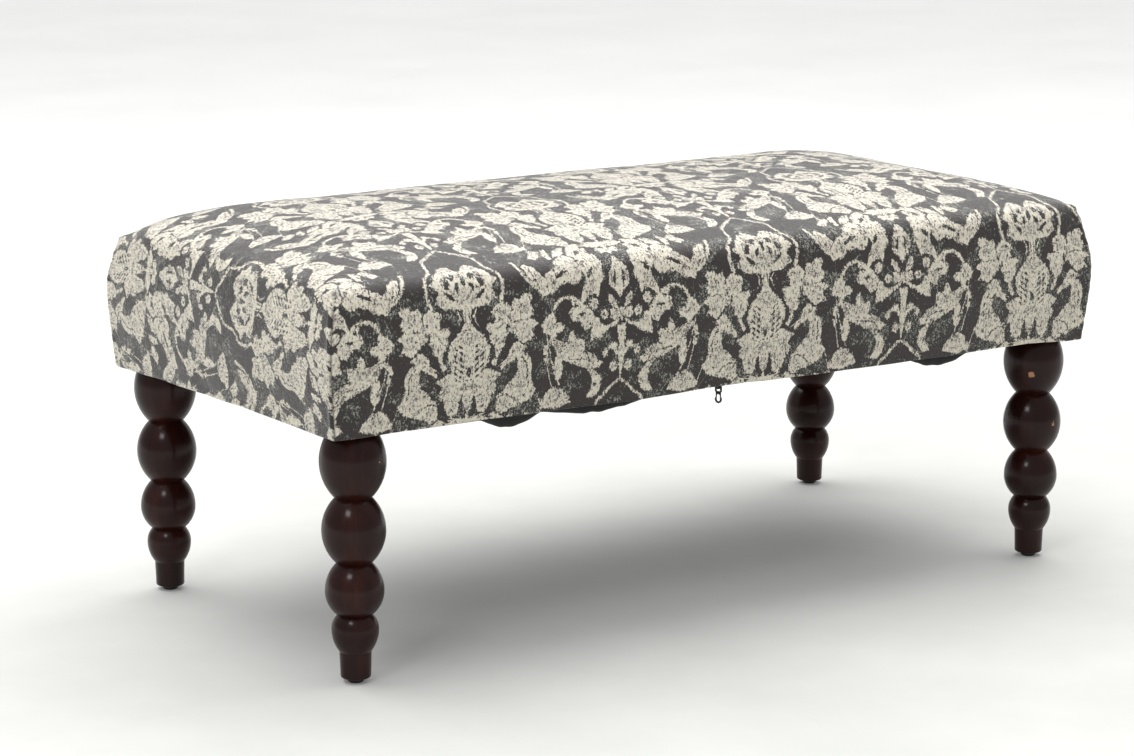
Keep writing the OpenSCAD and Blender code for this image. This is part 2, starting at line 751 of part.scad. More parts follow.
// Pull: a flat tab with a window for the bridge, a waist and a finger hole.
// Its upper edge is round about the axis on which it swings, and it hangs
// turned a little towards the front of the bench.
pull_yaw = 25;
module pull_outline() {
  r = pull_w / 2;
  bar = pull_t / 2;
  waist = -ring_l - 2 * bar;
  difference() {
    union() {
      translate([-r, waist]) square([pull_w, pull_t - waist]);
      translate([-pull_neck_w / 2, -pull_l + r]) square([pull_neck_w, pull_l - r]);
      translate([0, -pull_l + r]) circle(r = r);
    }
    translate([-ring_w / 2, -ring_l - bar]) square([ring_w, ring_l]);
    translate([0, -pull_l + r]) {
      hole_r = pull_hole_w / 2;
      circle(r = hole_r);
      translate([0, pull_hole_l - pull_hole_w]) circle(r = hole_r);
      translate([-hole_r, 0]) square([pull_hole_w, pull_hole_l - pull_hole_w]);
    }
  }
}

// Section of the pull through its thickness
module pull_section() {
  circle(r = pull_t / 2);
  translate([-pull_t / 2, -pull_l - over]) square([pull_t, pull_l + over]);
}

module zip_pull() {
  color("#141414") translate([slider_x, zip_y, pivot_z]) rotate([0, 0, pull_yaw + 90])
    rotate([90, 0, 0]) intersection() {
      linear_extrude(height = pull_t + 2 * over, center = true) pull_outline();
      rotate([0, -90, 0]) linear_extrude(height = pull_w + 2 * over, center = true) pull_section();
    }
}

cover();
wadding();
foam_core();
deck_board();
long_rail(-1);  // long_rail_front
long_rail(1);  // long_rail_back
end_rail(-1);  // end_rail_left
end_rail(1);  // end_rail_right
cross_rail(-1);  // cross_rail_left
cross_rail(1);  // cross_rail_right
corner_block(-1, -1);  // corner_block_front_left
corner_block(1, -1);  // corner_block_front_right
corner_block(-1, 1);  // corner_block_back_left
corner_block(1, 1);  // corner_block_back_right
leg(-1, -1);  // leg_front_left
leg(1, -1);  // leg_front_right
leg(-1, 1);  // leg_back_left
leg(1, 1);  // leg_back_right
leg_bolts();
tee_nuts();
floor_glide(-1, -1);  // floor_glide_front_left
floor_glide(1, -1);  // floor_glide_front_right
floor_glide(-1, 1);  // floor_glide_back_left
floor_glide(1, 1);  // floor_glide_back_right
glide_nails();
frame_screws();
block_screws();
deck_screws();
base_cloth();
zip_tape(-1);  // zip_tape_front
zip_tape(1);  // zip_tape_back
zip_coil(-1);  // zip_coil_front
zip_coil(1);  // zip_coil_back
zip_stops();
zip_slider();
zip_pull();
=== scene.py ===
import math

import bpy
import numpy as np
from mathutils import Euler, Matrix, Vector, noise


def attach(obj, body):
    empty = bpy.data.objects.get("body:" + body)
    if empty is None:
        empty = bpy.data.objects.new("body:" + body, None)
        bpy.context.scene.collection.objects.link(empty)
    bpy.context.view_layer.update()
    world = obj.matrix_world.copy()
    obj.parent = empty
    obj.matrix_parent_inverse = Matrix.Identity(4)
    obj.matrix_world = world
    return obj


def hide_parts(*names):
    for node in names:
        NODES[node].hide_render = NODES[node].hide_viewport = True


# Upholstered bench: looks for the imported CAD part. Metres, Z up, front at -Y.

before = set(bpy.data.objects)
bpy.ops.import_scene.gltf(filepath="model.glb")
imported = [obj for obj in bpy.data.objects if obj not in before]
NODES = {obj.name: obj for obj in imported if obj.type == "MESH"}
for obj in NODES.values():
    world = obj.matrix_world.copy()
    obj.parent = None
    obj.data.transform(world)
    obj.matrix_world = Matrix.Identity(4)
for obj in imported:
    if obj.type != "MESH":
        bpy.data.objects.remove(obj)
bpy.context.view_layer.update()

# ---------------------------------------------------------------- sizes

# Half the seat's width and depth at the hem, the hem's height, the height of the sides and
# how much higher the middle of the top is
HALF_W, HALF_D = 0.495, 0.249
HEM_Z, SIDE_H, CROWN = 0.264, 0.150, 0.037
# How far the sides swell out, and the radius of the rounded top edge
BULGE, EDGE_R = 0.006, 0.026
# Plan radius of the upright corners, what is added to it towards the top edge, between which
# heights, and how slowly it sets in
CORNER_R, TOP_CORNER_R = 0.006, 0.007
ROUND_LOW_Z, ROUND_HIGH_Z, ROUND_POWER = 0.362, 0.4204, 1.5
# Further radius for each metre that a ring of the top lies inside the outline
CORNER_GROWTH, MIN_CORNER_R = 0.3, 0.002
# Thickness of the fabric and how far it is turned in under the seat
FABRIC_T, FLANGE = 0.0012, 0.007
# Place of a leg
LEG_X, LEG_Y = 0.4525, 0.2115
# The crown is flatter in its middle with a higher power
CROWN_POWER = 2.9
# The edge's arc ends where it has the slope of the crown
EDGE_TURN = math.radians(90) - math.atan(CROWN * CROWN_POWER / HALF_D)
EDGE_IN = EDGE_R * (1 - math.cos(EDGE_TURN))


def crown_z(d):
    """Height of the top at a distance d inside the hem outline."""
    return HEM_Z + SIDE_H + CROWN * (1 - np.power(np.clip(1 - d / HALF_D, 0, 1), CROWN_POWER))


# Where the side ends and the edge's arc begins
SHOULDER_Z = float(crown_z(EDGE_IN)) - EDGE_R * math.sin(EDGE_TURN)


# ---------------------------------------------------------------- meshes

def smoothstep(a, b, x):
    """0 at a and 1 at b, with a soft start and end."""
    t = np.clip((x - a) / (b - a), 0, 1)
    return t * t * (3 - 2 * t)


def make_mesh(name, points, faces, uv=None):
    """A smooth-shaded mesh object; uv is one (u, v) per face corner."""
    mesh = bpy.data.meshes.new(name)
    mesh.from_pydata([tuple(p) for p in points], [], faces)
    mesh.validate()
    if uv is not None:
        layer = mesh.uv_layers.new(name="fabric")
        layer.data.foreach_set("uv", np.asarray(uv, np.float32).ravel())
    mesh.polygons.foreach_set("use_smooth", [True] * len(mesh.polygons))
    obj = bpy.data.objects.new(name, mesh)
    bpy.context.scene.collection.objects.link(obj)
    return obj


def dress(obj, material, body=None, stands_for=()):
    """Gives a piece its material, the body it rides on and the nodes it stands for."""
    obj.data.materials.clear()
    obj.data.materials.append(material)
    if body:
        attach(obj, body)
    if stands_for:
        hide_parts(*stands_for)


# How fast the steps of a grid grow away from a corner
STEP_GROWTH = 0.12


def graded(half, fine, coarse):
    """Places from -1 to 1 along a side 2 * half long, close together at both ends."""
    places, at = [0.0], 0.0
    while at < half:
        at += min(coarse, fine + STEP_GROWTH * at)
        places.append(at)
    inner = np.array(places) * (half / places[-1])
    side = 1 - inner[::-1] / half
    return np.concatenate([-side[::-1], side[1:]])


# The upper part of a side swells more than the lower one
SWELL_POWER = 1.25
# Where a ring lies this near to the hem it belongs to the turned-in fabric
FLANGE_HIGH = 0.01
# The top's crown is found by halving and then smoothed, away from the edge
HALVINGS, SMOOTHINGS = 26, 60
SMOOTH_FROM, SMOOTH_FULL = 0.016, 0.05


class Seat:
    """A shell round the seat, at a depth t below the outside of the cover.

    It is made of rings, from the top edge down, of which each has a flap of cloth for the
    front, the right end, the back and the left end.
    """

    def __init__(self, t=0.0, fine=0.0012, coarse=0.0055, rows=34, low_z=HEM_Z, corner=CORNER_R):
        self.t, self.corner = t, corner
        self.across = graded(HALF_W, fine, coarse)
        self.along = graded(HALF_D, fine, coarse)
        turn = np.linspace(EDGE_TURN, 0, max(6, rows // 4))
        self.section = [(EDGE_R - (EDGE_R - t) * math.cos(a),
                         SHOULDER_Z + (EDGE_R - t) * math.sin(a)) for a in turn]
        for s in np.linspace(1, 0, rows)[1:]:
            inset = -BULGE * math.sin(math.pi * s ** SWELL_POWER) + t
            z = low_z + s * (SHOULDER_Z - low_z)
            self.section.append((inset, z))
        # rings below the side, such as a turned-in hem
        self.tail = []

    def radius(self, inset, z):
        """Plan radius of the corners of a ring."""
        if z < HEM_Z + FLANGE_HIGH and inset > 0:
            return max(self.corner - inset, MIN_CORNER_R)
        share = min(max((z - ROUND_LOW_Z) / (ROUND_HIGH_Z - ROUND_LOW_Z), 0), 1)
        grown = TOP_CORNER_R * share ** ROUND_POWER + CORNER_GROWTH * max(inset, 0)
        return max(self.corner + grown - self.t, MIN_CORNER_R)

    def ring(self, inset, z):
        """Points of one ring: front, right end, back and left end in turn."""
        hx, hy = HALF_W - inset, HALF_D - inset
        r = self.radius(inset, z)

        def flap(shares, half, depth):
            """Places along one side, each end bent round half of its corner."""
            arc = r * math.pi / 4
            s = np.abs(shares) * (half - r + arc)
            a = np.clip((s - (half - r)) / r, 0, None)
            place = np.where(a > 0, half - r + r * np.sin(a), s) * np.sign(shares)
            out = np.where(a > 0, depth - r + r * np.cos(a), depth)
            return place, out

        fx, fy = flap(self.across, hx, hy)
        ey, ex = flap(self.along, hy, hx)
        ring = np.concatenate([
            np.stack([fx, -fy], 1)[:-1], np.stack([ex, ey], 1)[:-1],
            np.stack([-fx, fy], 1)[:-1], np.stack([-ex, -ey], 1)[:-1]])
        return np.column_stack([ring, np.full(len(ring), z)])

    def flap_numbers(self):
        """Steps along a front and an end, and the number at which each flap starts."""
        n, m = len(self.across) - 1, len(self.along) - 1
        return n, m, [0, n, n + m, 2 * n + m, 2 * n + 2 * m]

    def top_points(self, ring):
        """A grid that fills the first ring, raised to the crown."""
        n, m, start = self.flap_numbers()
        loop = np.vstack([ring, ring[:1]])
        front = loop[start[0]:start[1] + 1]
        right = loop[start[1]:start[2] + 1]
        back = loop[start[2]:start[3] + 1][::-1]
        left = loop[start[3]:start[4] + 1][::-1]
        p = ((self.across + 1) / 2)[:, None, None]
        q = ((self.along + 1) / 2)[None, :, None]
        grid = ((1 - q) * front[:, None] + q * back[:, None]
                + (1 - p) * left[None] + p * right[None]
                - (1 - p) * (1 - q) * front[0] - p * (1 - q) * front[-1]
                - (1 - p) * q * back[0] - p * q * back[-1])
        # the height follows from how far inside the outline a point lies
        x, y = np.abs(grid[..., 0]), np.abs(grid[..., 1])
        low, high = np.zeros_like(x), np.full_like(x, HALF_D * 0.999)
        for _ in range(HALVINGS):
            d = (low + high) / 2
            r = self.corner + TOP_CORNER_R + CORNER_GROWTH * d
            qx, qy = x - (HALF_W - d - r), y - (HALF_D - d - r)
            outside = (np.hypot(np.maximum(qx, 0), np.maximum(qy, 0))
                       + np.minimum(np.maximum(qx, qy), 0) - r) < 0
            low, high = np.where(outside, d, low), np.where(outside, high, d)
        z = crown_z((low + high) / 2) - self.t
        for _ in range(SMOOTHINGS):
            soft = z.copy()
            soft[1:-1, 1:-1] = (z[1:-1, 1:-1] * 2 + z[:-2, 1:-1] + z[2:, 1:-1]
                                + z[1:-1, :-2] + z[1:-1, 2:]) / 6
            depth = np.minimum(HALF_W - x, HALF_D - y)
            z = z + (soft - z) * smoothstep(SMOOTH_FROM, SMOOTH_FULL, depth)
        grid[..., 2] = z
        grid[0, :, 2] = grid[-1, :, 2] = ring[0, 2]
        grid[:, 0, 2] = grid[:, -1, 2] = ring[0, 2]
        return grid

    def build(self):
        """Points, quads and fabric coordinates of the shell, and the points in a ring."""
        section = self.section + self.tail
        rings = [self.ring(d, z) for d, z in section]
        n, m, start = self.flap_numbers()
        total = start[4]
        grid = self.top_points(rings[0])
        points = list(np.vstack(rings))
        # the grid's border is the first ring
        number = np.full((n + 1, m + 1), -1)
        border = ([(i, 0) for i in range(n)] + [(n, j) for j in range(m)]
                  + [(i, m) for i in range(n, 0, -1)] + [(0, j) for j in range(m, 0, -1)])
        for k, (i, j) in enumerate(border):
            number[i, j] = k
        for i in range(1, n):
            for j in range(1, m):
                number[i, j] = len(points)
                points.append(grid[i, j])
        faces, uv = [], []
        for i in range(n):
            for j in range(m):
                quad = [number[i, j], number[i + 1, j], number[i + 1, j + 1], number[i, j + 1]]
                faces.append(quad)
                uv += [(points[k][0], points[k][1]) for k in quad]
        # the cloth of each side hangs from its own stretch of the top edge
        run = [0.0]
        for a, b in zip(section, section[1:]):
            run.append(run[-1] + math.dist(a, b))
        lengths = []
        for d, z in section:
            cut = self.radius(d, z) * (1 - math.pi / 4)
            lengths.append((HALF_W - d - cut, HALF_D - d - cut))
        along = ((1, 0), (0, 1), (-1, 0), (0, -1))
        down = ((0, -1), (1, 0), (0, 1), (-1, 0))
        for flap in range(4):
            shares = self.across if flap % 2 == 0 else self.along
            columns = [(start[flap] + i) % total for i in range(start[flap + 1] - start[flap] + 1)]
            top_edge = rings[0][columns, :2]
            cloth = [top_edge + np.outer(shares * (lengths[k][flap % 2] - lengths[0][flap % 2]),
                                         along[flap]) + run[k] * np.array(down[flap])
                     for k in range(len(rings))]
            for k in range(len(rings) - 1):
                for i in range(len(columns) - 1):
                    a, b = columns[i], columns[i + 1]
                    faces.append([k * total + a, (k + 1) * total + a,
                                  (k + 1) * total + b, k * total + b])
                    uv += [cloth[k][i], cloth[k + 1][i], cloth[k + 1][i + 1], cloth[k][i + 1]]
        return np.array(points), faces, uv, total


def normals_of(points, faces):
    """Outward direction at each point of a shell of quads."""
    quads = np.array(faces)
    a, b, c, d = (points[quads[:, k]] for k in range(4))
    face = np.cross(c - a, d - b)
    out = np.zeros_like(points)
    for k in range(4):
        np.add.at(out, quads[:, k], face)
    return out / np.maximum(np.linalg.norm(out, axis=1), 1e-12)[:, None]


def noise_at(points, scale, seed=0.0):
    """Smooth noise from -1 to 1 at each point; scale is the size of a bump in metres."""
    shift = Vector((seed, seed * 1.7, seed * 0.6))
    return np.array([noise.noise(Vector(p) / scale + shift) for p in points])


# ---------------------------------------------------------------- cover

# Each corner: signs, how far its top is pushed in and down, and how far its hem rises
CORNERS = (((-1, -1), 0.001, 0.001, 0.001), ((1, -1), 0.002, 0.002, -0.005),
           ((-1, 1), -0.001, 0.015, -0.009), ((1, 1), 0.0, 0.0, -0.003))
# Reach of a push on a corner, and the heights between which it sets in
PUSH_REACH, PUSH_LOW_Z, PUSH_HIGH_Z = 0.055, 0.345, 0.395
# Height of the front hem against its plain level, along the bench
HEM_PLACES = (-0.49, -0.43, -0.35, -0.24, -0.13, -0.06, 0.0, 0.05, 0.16, 0.23, 0.35, 0.41, 0.47,
              0.495)
HEM_RISES = (0.001, 0.001, 0.0015, 0.001, -0.001, 0.0005, 0.0015, 0.0, -0.001, -0.0015, -0.0015,
             -0.0005, -0.005, -0.005)
# The same for the left hem, from front to back; its last height is the corner's
LEFT_HEM_PLACES, LEFT_HEM_RISES = (0, 0.4, 0.75, 1), (0.001, 0.0, -0.004)
# Width of the zone in which the hems of two sides blend
HEM_BLEND = 0.02
# The seams show this near to the outline
SEAM_ZONE = 0.05
# Dents in the cloth: height, size and seed; they fade out towards a seam
DENTS = ((0.0012, 0.11, 3.1), (0.0006, 0.045, 8.2))
DENT_FADE = 0.03
# A corner seam's groove, and the low rim beside it: height, place and width
SEAM_SHAPE = ((-0.0014, 0.0, 0.0011), (0.0008, 0.0035, 0.0022))
# Puckers beside a seam: height, length of a wave (over tau) and reach
PUCKER_H, PUCKER_STEP, PUCKER_REACH = 0.0004, 0.0021, 0.008
# The ear where a seam ends: height, width and direction, and how far its foot lies in from the
# sides, as a share of the edge's radius, and above the edge's plain height
EAR_H, EAR_W, EAR_LEAN, EAR_IN, EAR_UP = 0.0055, 0.0055, (0.5, 0.5, 0.7), 0.36, 0.002
# The slack hem: how far up it reaches, how uneven it is in height and in depth, and the length
# of its bumps
SLACK_REACH, SLACK_RISE, SLACK_DEPTH, SLACK_SIZE = 0.06, 0.0008, 0.0014, 0.05
# Half width of the painted shade along a seam's groove
SEAM_SHADE_W = 0.0013


def hem_rise(x, y):
    """How far the slack hem lies above its plain level at each point."""
    front = np.interp(x, HEM_PLACES, HEM_RISES)
    ends = {c[0]: c[3] for c in CORNERS}
    share = np.clip((y + HALF_D) / (2 * HALF_D), 0, 1)
    left = np.interp(share, LEFT_HEM_PLACES, (*LEFT_HEM_RISES, ends[(-1, 1)]))
    right = ends[(1, -1)] + (ends[(1, 1)] - ends[(1, -1)]) * share
    across = np.clip((x + HALF_W) / (2 * HALF_W), 0, 1)
    back = ends[(-1, 1)] + (ends[(1, 1)] - ends[(-1, 1)]) * across
    near = [np.exp(-(gap / HEM_BLEND) ** 2) + 1e-9 for gap in
            (y + HALF_D, HALF_W - x, HALF_D - y, x + HALF_W)]
    return sum(w * v for w, v in zip(near, (front, right, back, left))) / sum(near)


def press_corners(points):
    """Pushes the seat's four top corners in and down, as on the used bench."""
    x, y, z = points.T.copy()
    for (sx, sy), inward, drop, _ in CORNERS:
        reach = np.hypot(x - sx * HALF_W, y - sy * HALF_D)
        near = np.exp(-(reach / PUSH_REACH) ** 2) * smoothstep(PUSH_LOW_Z, PUSH_HIGH_Z, z)
        points = points + near[:, None] * np.array([-sx * inward, -sy * inward, -drop])
    return points


def seam_distance(x, y):
    """Distance from the nearest upright corner seam."""
    seam = np.abs(np.abs(x) - np.abs(y) - (HALF_W - HALF_D)) / math.sqrt(2)
    return np.where(np.minimum(HALF_W - np.abs(x), HALF_D - np.abs(y)) < SEAM_ZONE, seam, 1)


def cloth_relief(points, seam, on_side):
    """How far the cloth stands out: slight dents, and the seams with their puckers."""
    dents = sum(height * noise_at(points, size, seed) for height, size, seed in DENTS)
    relief = sum(height * np.exp(-((seam - place) / width) ** 2)
                 for height, place, width in SEAM_SHAPE)
    wave = np.sin(points[:, 2] / PUCKER_STEP + 3 * noise_at(points, scale=0.03, seed=5.0))
    relief += PUCKER_H * wave * np.exp(-seam / PUCKER_REACH)
    return dents * smoothstep(0, DENT_FADE, seam) + on_side * relief


def raise_ears(points):
    """Raises a small ear where each upright seam ends; gives each point's share in one."""
    share = np.zeros(len(points))
    inset = EDGE_R * EAR_IN
    for (sx, sy), inward, drop, _ in CORNERS:
        tip = np.array([sx * (HALF_W - inset - inward), sy * (HALF_D - inset - inward),
                        HEM_Z + SIDE_H + EAR_UP - drop])
        near = np.exp(-(np.linalg.norm(points - tip, axis=1) / EAR_W) ** 2)
        points += (EAR_H * near)[:, None] * (np.array(EAR_LEAN) * (sx, sy, 1))
        share = np.maximum(share, near)
    return share


def slacken_hem(points, even, normal, free):
    """Makes the hem of a shell a little slack; even holds the shell as it was built."""
    x, y, z = even.T
    low = smoothstep(HEM_Z + SLACK_REACH, HEM_Z + 0.004, z)
    depth = np.minimum(HALF_W - np.abs(x), HALF_D - np.abs(y))
    outer = smoothstep(FLANGE, FLANGE * 0.3, depth)
    flat = np.column_stack([x, y, z * 0])
    points[:, 2] += low * outer * (hem_rise(x, y) + SLACK_RISE * noise_at(flat, SLACK_SIZE, 1.4))
    points += normal * (low * free * SLACK_DEPTH * noise_at(flat, SLACK_SIZE, 6.6))[:, None]


def make_cover(material):
    seat = Seat(low_z=HEM_Z + FABRIC_T)
    # the hem turns in, runs under the seat and ends in a fabric's thickness
    seat.tail = [(FABRIC_T * (1 - math.cos(a)), HEM_Z + FABRIC_T * (1 - math.sin(a)))
                 for a in np.radians([30, 60, 90])]
    seat.tail += [(FLANGE * s, HEM_Z) for s in (0.4, 0.7, 1)]
    seat.tail += [(FLANGE, HEM_Z + FABRIC_T), (FLANGE * 0.4, HEM_Z + FABRIC_T)]
    even, faces, uv, _ = seat.build()
    normal = normals_of(even, faces)
    x, y, z = even.T
    # each point's share in the sides, and in the cloth above the stitches of the hem
    on_side = smoothstep(SHOULDER_Z + 0.018, SHOULDER_Z - 0.004, z)
    free = smoothstep(HEM_Z + 0.001, HEM_Z + 0.004, z)
    seam = seam_distance(x, y)
    push = cloth_relief(even, seam, on_side) * free
    points = press_corners(even + normal * push[:, None])
    ears = raise_ears(points)
    slacken_hem(points, even, normal, free)
    cover = make_mesh("seat_cover", points, faces, uv)
    shade = cover.data.attributes.new("seam_shade", "FLOAT", "POINT")
    # painted shade: the cloth is darkened along each upright seam's groove and on each ear, kept as
    # seam_shade
    dark = np.maximum(on_side * np.exp(-(seam / SEAM_SHADE_W) ** 2), ears)
    shade.data.foreach_set("value", dark.astype(np.float32))
    dress(cover, material, "bench", ["cover"])


def make_filling(name, material, node, t, low_z):
    """A layer inside the cover, t deep and closed at low_z."""
    seat = Seat(t=t, fine=0.006, coarse=0.012, rows=16, low_z=low_z, corner=0.013)
    points, faces, _, total = seat.build()
    points = press_corners(points)
    uneven = 0.0004 * noise_at(points, scale=0.02, seed=2.0)
    points += normals_of(points, faces) * uneven[:, None]
    last = len(seat.section) - 1
    faces.append([last * total + k for k in range(total)])
    layer = make_mesh(name, points, faces)
    dress(layer, material, "bench", [node])


# ---------------------------------------------------------------- black cloth under the seat

CLOTH_TOP, CLOTH_T = 0.2652, 0.0008
# Half its width and depth, the ends and the back of its slot for the zip, its holes for the legs
CLOTH_X, CLOTH_Y, SLOT_X, SLOT_Y, LEG_HOLE_R = 0.4877, 0.2417, 0.4063, -0.232, 0.0253
# Sags behind the zip: depth, where they start, how far back they are deepest, and how many
# times that far they reach
SAG_DEPTH, SAG_START, SAG_REACH, SAG_END_SHARE = 0.020, -0.2266, 0.015, 6.5
# The cloth's rows lie closer together up to here
FINE_END_Y = -0.16
# Each sag: place and half length as shares of the seat's half width, and share of the depth
SAGS = ((-0.54, 0.13, 1.1), (-0.32, 0.27, 0.95), (0.62, 0.16, 1.2))


def sag_at(x, y):
    """How far the cloth hangs down, behind the zip."""
    t = np.clip((y - SAG_START) / SAG_REACH, 0, SAG_END_SHARE)
    deep = np.zeros_like(x)
    for place, half, depth in SAGS:
        u = np.clip(np.abs(x / HALF_W - place) / half, 0, 1)
        deep = np.maximum(deep, depth * (1 + np.cos(np.pi * u)) / 2)
    return SAG_DEPTH * t * np.exp(1 - t) * (1 - t / SAG_END_SHARE) * deep


def make_base_cloth(material):
    """The black cloth under the seat: one sheet, cut out at the zip and at the legs."""
    xs = np.unique(np.round(np.concatenate([
        np.linspace(-CLOTH_X, -SLOT_X, 21), np.linspace(-SLOT_X, SLOT_X, 205),
        np.linspace(SLOT_X, CLOTH_X, 21)]), 6))
    ys = np.unique(np.round(np.concatenate([
        np.linspace(-CLOTH_Y, SLOT_Y, 4), np.linspace(SLOT_Y, SAG_START, 3),
        np.linspace(SAG_START, FINE_END_Y, 24), np.linspace(FINE_END_Y, CLOTH_Y, 100)]), 6))
    gx, gy = np.meshgrid(xs, ys, indexing="ij")
    sag = sag_at(gx, gy)
    flat = np.column_stack([gx.ravel(), gy.ravel(), np.zeros(gx.size)])
    ripple = noise_at(flat, scale=0.06, seed=4.0).reshape(gx.shape) * 0.0008
    fold = noise_at(flat * [1, 0.35, 1], scale=0.012, seed=9.0).reshape(gx.shape)
    z = CLOTH_TOP - CLOTH_T - sag - np.abs(ripple) * smoothstep(SLOT_Y, SLOT_Y + 0.03, gy)
    z -= sag * 0.12 * fold
    number = np.arange(gx.size).reshape(gx.shape)
    points = np.column_stack([gx.ravel(), gy.ravel(), z.ravel()])
    faces = []
    for i in range(len(xs) - 1):
        for j in range(len(ys) - 1):
            cx, cy = (xs[i] + xs[i + 1]) / 2, (ys[j] + ys[j + 1]) / 2
            at_zip = abs(cx) < SLOT_X and cy < SLOT_Y
            at_leg = math.hypot(abs(cx) - LEG_X, abs(cy) - LEG_Y) < LEG_HOLE_R
            if not at_zip and not at_leg:
                faces.append([number[i, j], number[i, j + 1],
                              number[i + 1, j + 1], number[i + 1, j]])
    # the edge of each leg hole is drawn onto its circle
    used = np.zeros(len(points), bool)
    used[np.array(faces).ravel()] = True
    dx, dy = np.abs(points[:, 0]) - LEG_X, np.abs(points[:, 1]) - LEG_Y
    far = np.hypot(dx, dy)
    near = (far < LEG_HOLE_R + 0.002) & used
    grow = LEG_HOLE_R / np.maximum(far[near], 1e-6)
    points[near, 0] = np.sign(points[near, 0]) * (LEG_X + dx[near] * grow)
    points[near, 1] = np.sign(points[near, 1]) * (LEG_Y + dy[near] * grow)
    keep = np.cumsum(used) - 1
    faces = [[keep[k] for k in f] for f in faces]
    cloth = make_mesh("underside_cloth", points[used], faces)
    thick = cloth.modifiers.new("thickness", "SOLIDIFY")
    thick.thickness, thick.offset = 0.0005, -1
    dress(cloth, material, "bench", ["base_cloth"])


# ---------------------------------------------------------------- materials

# A gap wider than any in a drawing, and a distance past the whole of it
FAR, BEYOND = 99.0, 900.0


class Shader:
    """A material whose nodes are made by short calls that return output sockets."""

    def __init__(self, name, **inputs):
        self.material = bpy.data.materials.new(name)
        self.material.use_nodes = True
        self.nodes = self.material.node_tree.nodes
        self.links = self.material.node_tree.links
        self.bsdf = self.nodes["Principled BSDF"]
        for key, value in inputs.items():
            self.bsdf.inputs[key.replace("_", " ")].default_value = value

    def put(self, socket, value):
        """Links an output to a socket, or sets the socket to a plain value."""
        if isinstance(value, bpy.types.NodeSocket):
            self.links.new(value, socket)
        else:
            socket.default_value = value

    def node(self, kind, inputs=(), **settings):
        """A new node; its inputs go by number or, in a dict, by name."""
        made = self.nodes.new("ShaderNode" + kind)
        for key, value in settings.items():
            setattr(made, key, value)
        items = inputs.items() if isinstance(inputs, dict) else enumerate(inputs)
        for key, value in items:
            self.put(made.inputs[key], value)
        return made

    def math(self, operation, *values):
        return self.node("Math", values, operation=operation).outputs[0]

    def times(self, a, b):
        return self.math("MULTIPLY", a, b)

    def line(self, value, factor, add):
        """value * factor + add"""
        return self.math("MULTIPLY_ADD", value, factor, add)

    def vector(self, operation, *values):
        made = self.node("VectorMath", values, operation=operation)
        return made.outputs["Value" if operation in ("LENGTH", "DISTANCE") else "Vector"]

    def coords(self, uv=None, scale=(1, 1, 1), turn=0):
        """Places on the object, or on its UV map; scaled, and turned about Z."""
        if uv:
            place = self.node("UVMap", uv_map=uv).outputs[0]
        else:
            place = self.node("TexCoord").outputs["Object"]
        return self.node("Mapping", {"Vector": place, "Scale": scale,
                                     "Rotation": (0, 0, turn)}).outputs[0]

    def noise(self, place, scale, detail=3.0, rough=0.5, distortion=0.0):
        return self.node("TexNoise", {"Vector": place, "Scale": scale, "Detail": detail,
                                      "Roughness": rough, "Distortion": distortion}).outputs[0]

    def ramp(self, value, *stops):
        """A colour that runs through stops, each a (place, colour)."""
        made = self.node("ValToRGB", [value])
        elements = made.color_ramp.elements
        while len(elements) < len(stops):
            elements.new(0.5)
        for element, (place, colour) in zip(elements, stops):
            element.position, element.color = place, colour
        return made.outputs[0]

    def steps(self, value, *ends):
        """Maps value from (low, high) to (0, 1) or to further ends, smoothly."""
        made = self.node("MapRange", [value, *ends], interpolation_type="SMOOTHSTEP")
        return made.outputs[0]

    def curve(self, value, points):
        """A curve made of straight stretches through (place from 0 to 1, height)."""
        made = self.node("FloatCurve", {"Value": value})
        mapping = made.mapping
        mapping.clip_max_y = BEYOND
        line = mapping.curves[0]
        line.points[0].location = points[0]
        line.points[1].location = points[-1]
        for point in points[1:-1]:
            line.points.new(*point)
        for point in line.points:
            point.handle_type = "VECTOR"
        mapping.update()
        return made.outputs[0]

    def mix(self, share, a, b):
        """Colour a, or colour b where share is 1."""
        return self.node("Mix", {0: share, 6: a, 7: b}, data_type="RGBA").outputs[2]

    def bump(self, height, distance, strength):
        made = self.node("Bump", {"Height": height, "Distance": distance, "Strength": strength})
        self.put(self.bsdf.inputs["Normal"], made.outputs[0])

    def set(self, **inputs):
        """Sets or links the shader's own inputs, and gives the finished material."""
        for key, value in inputs.items():
            self.put(self.bsdf.inputs[key.replace("_", " ")], value)
        return self.material


def srgb(r, g, b):
    """Colour as written in 0 to 255, turned to linear light."""
    def linear(c):
        c /= 255
        return c / 12.92 if c <= 0.04045 else ((c + 0.055) / 1.055) ** 2.4
    return (linear(r), linear(g), linear(b), 1)


# Places on the legs where the stain is knocked off to the pale wood, and how wide
CHIPS = ((0.4285, -0.2355, 0.2225, 0.0042), (0.456, -0.2425, 0.163, 0.0035),
         (-0.4290, -0.2270, 0.100, 0.0030), (-0.440, -0.2420, 0.236, 0.0018))


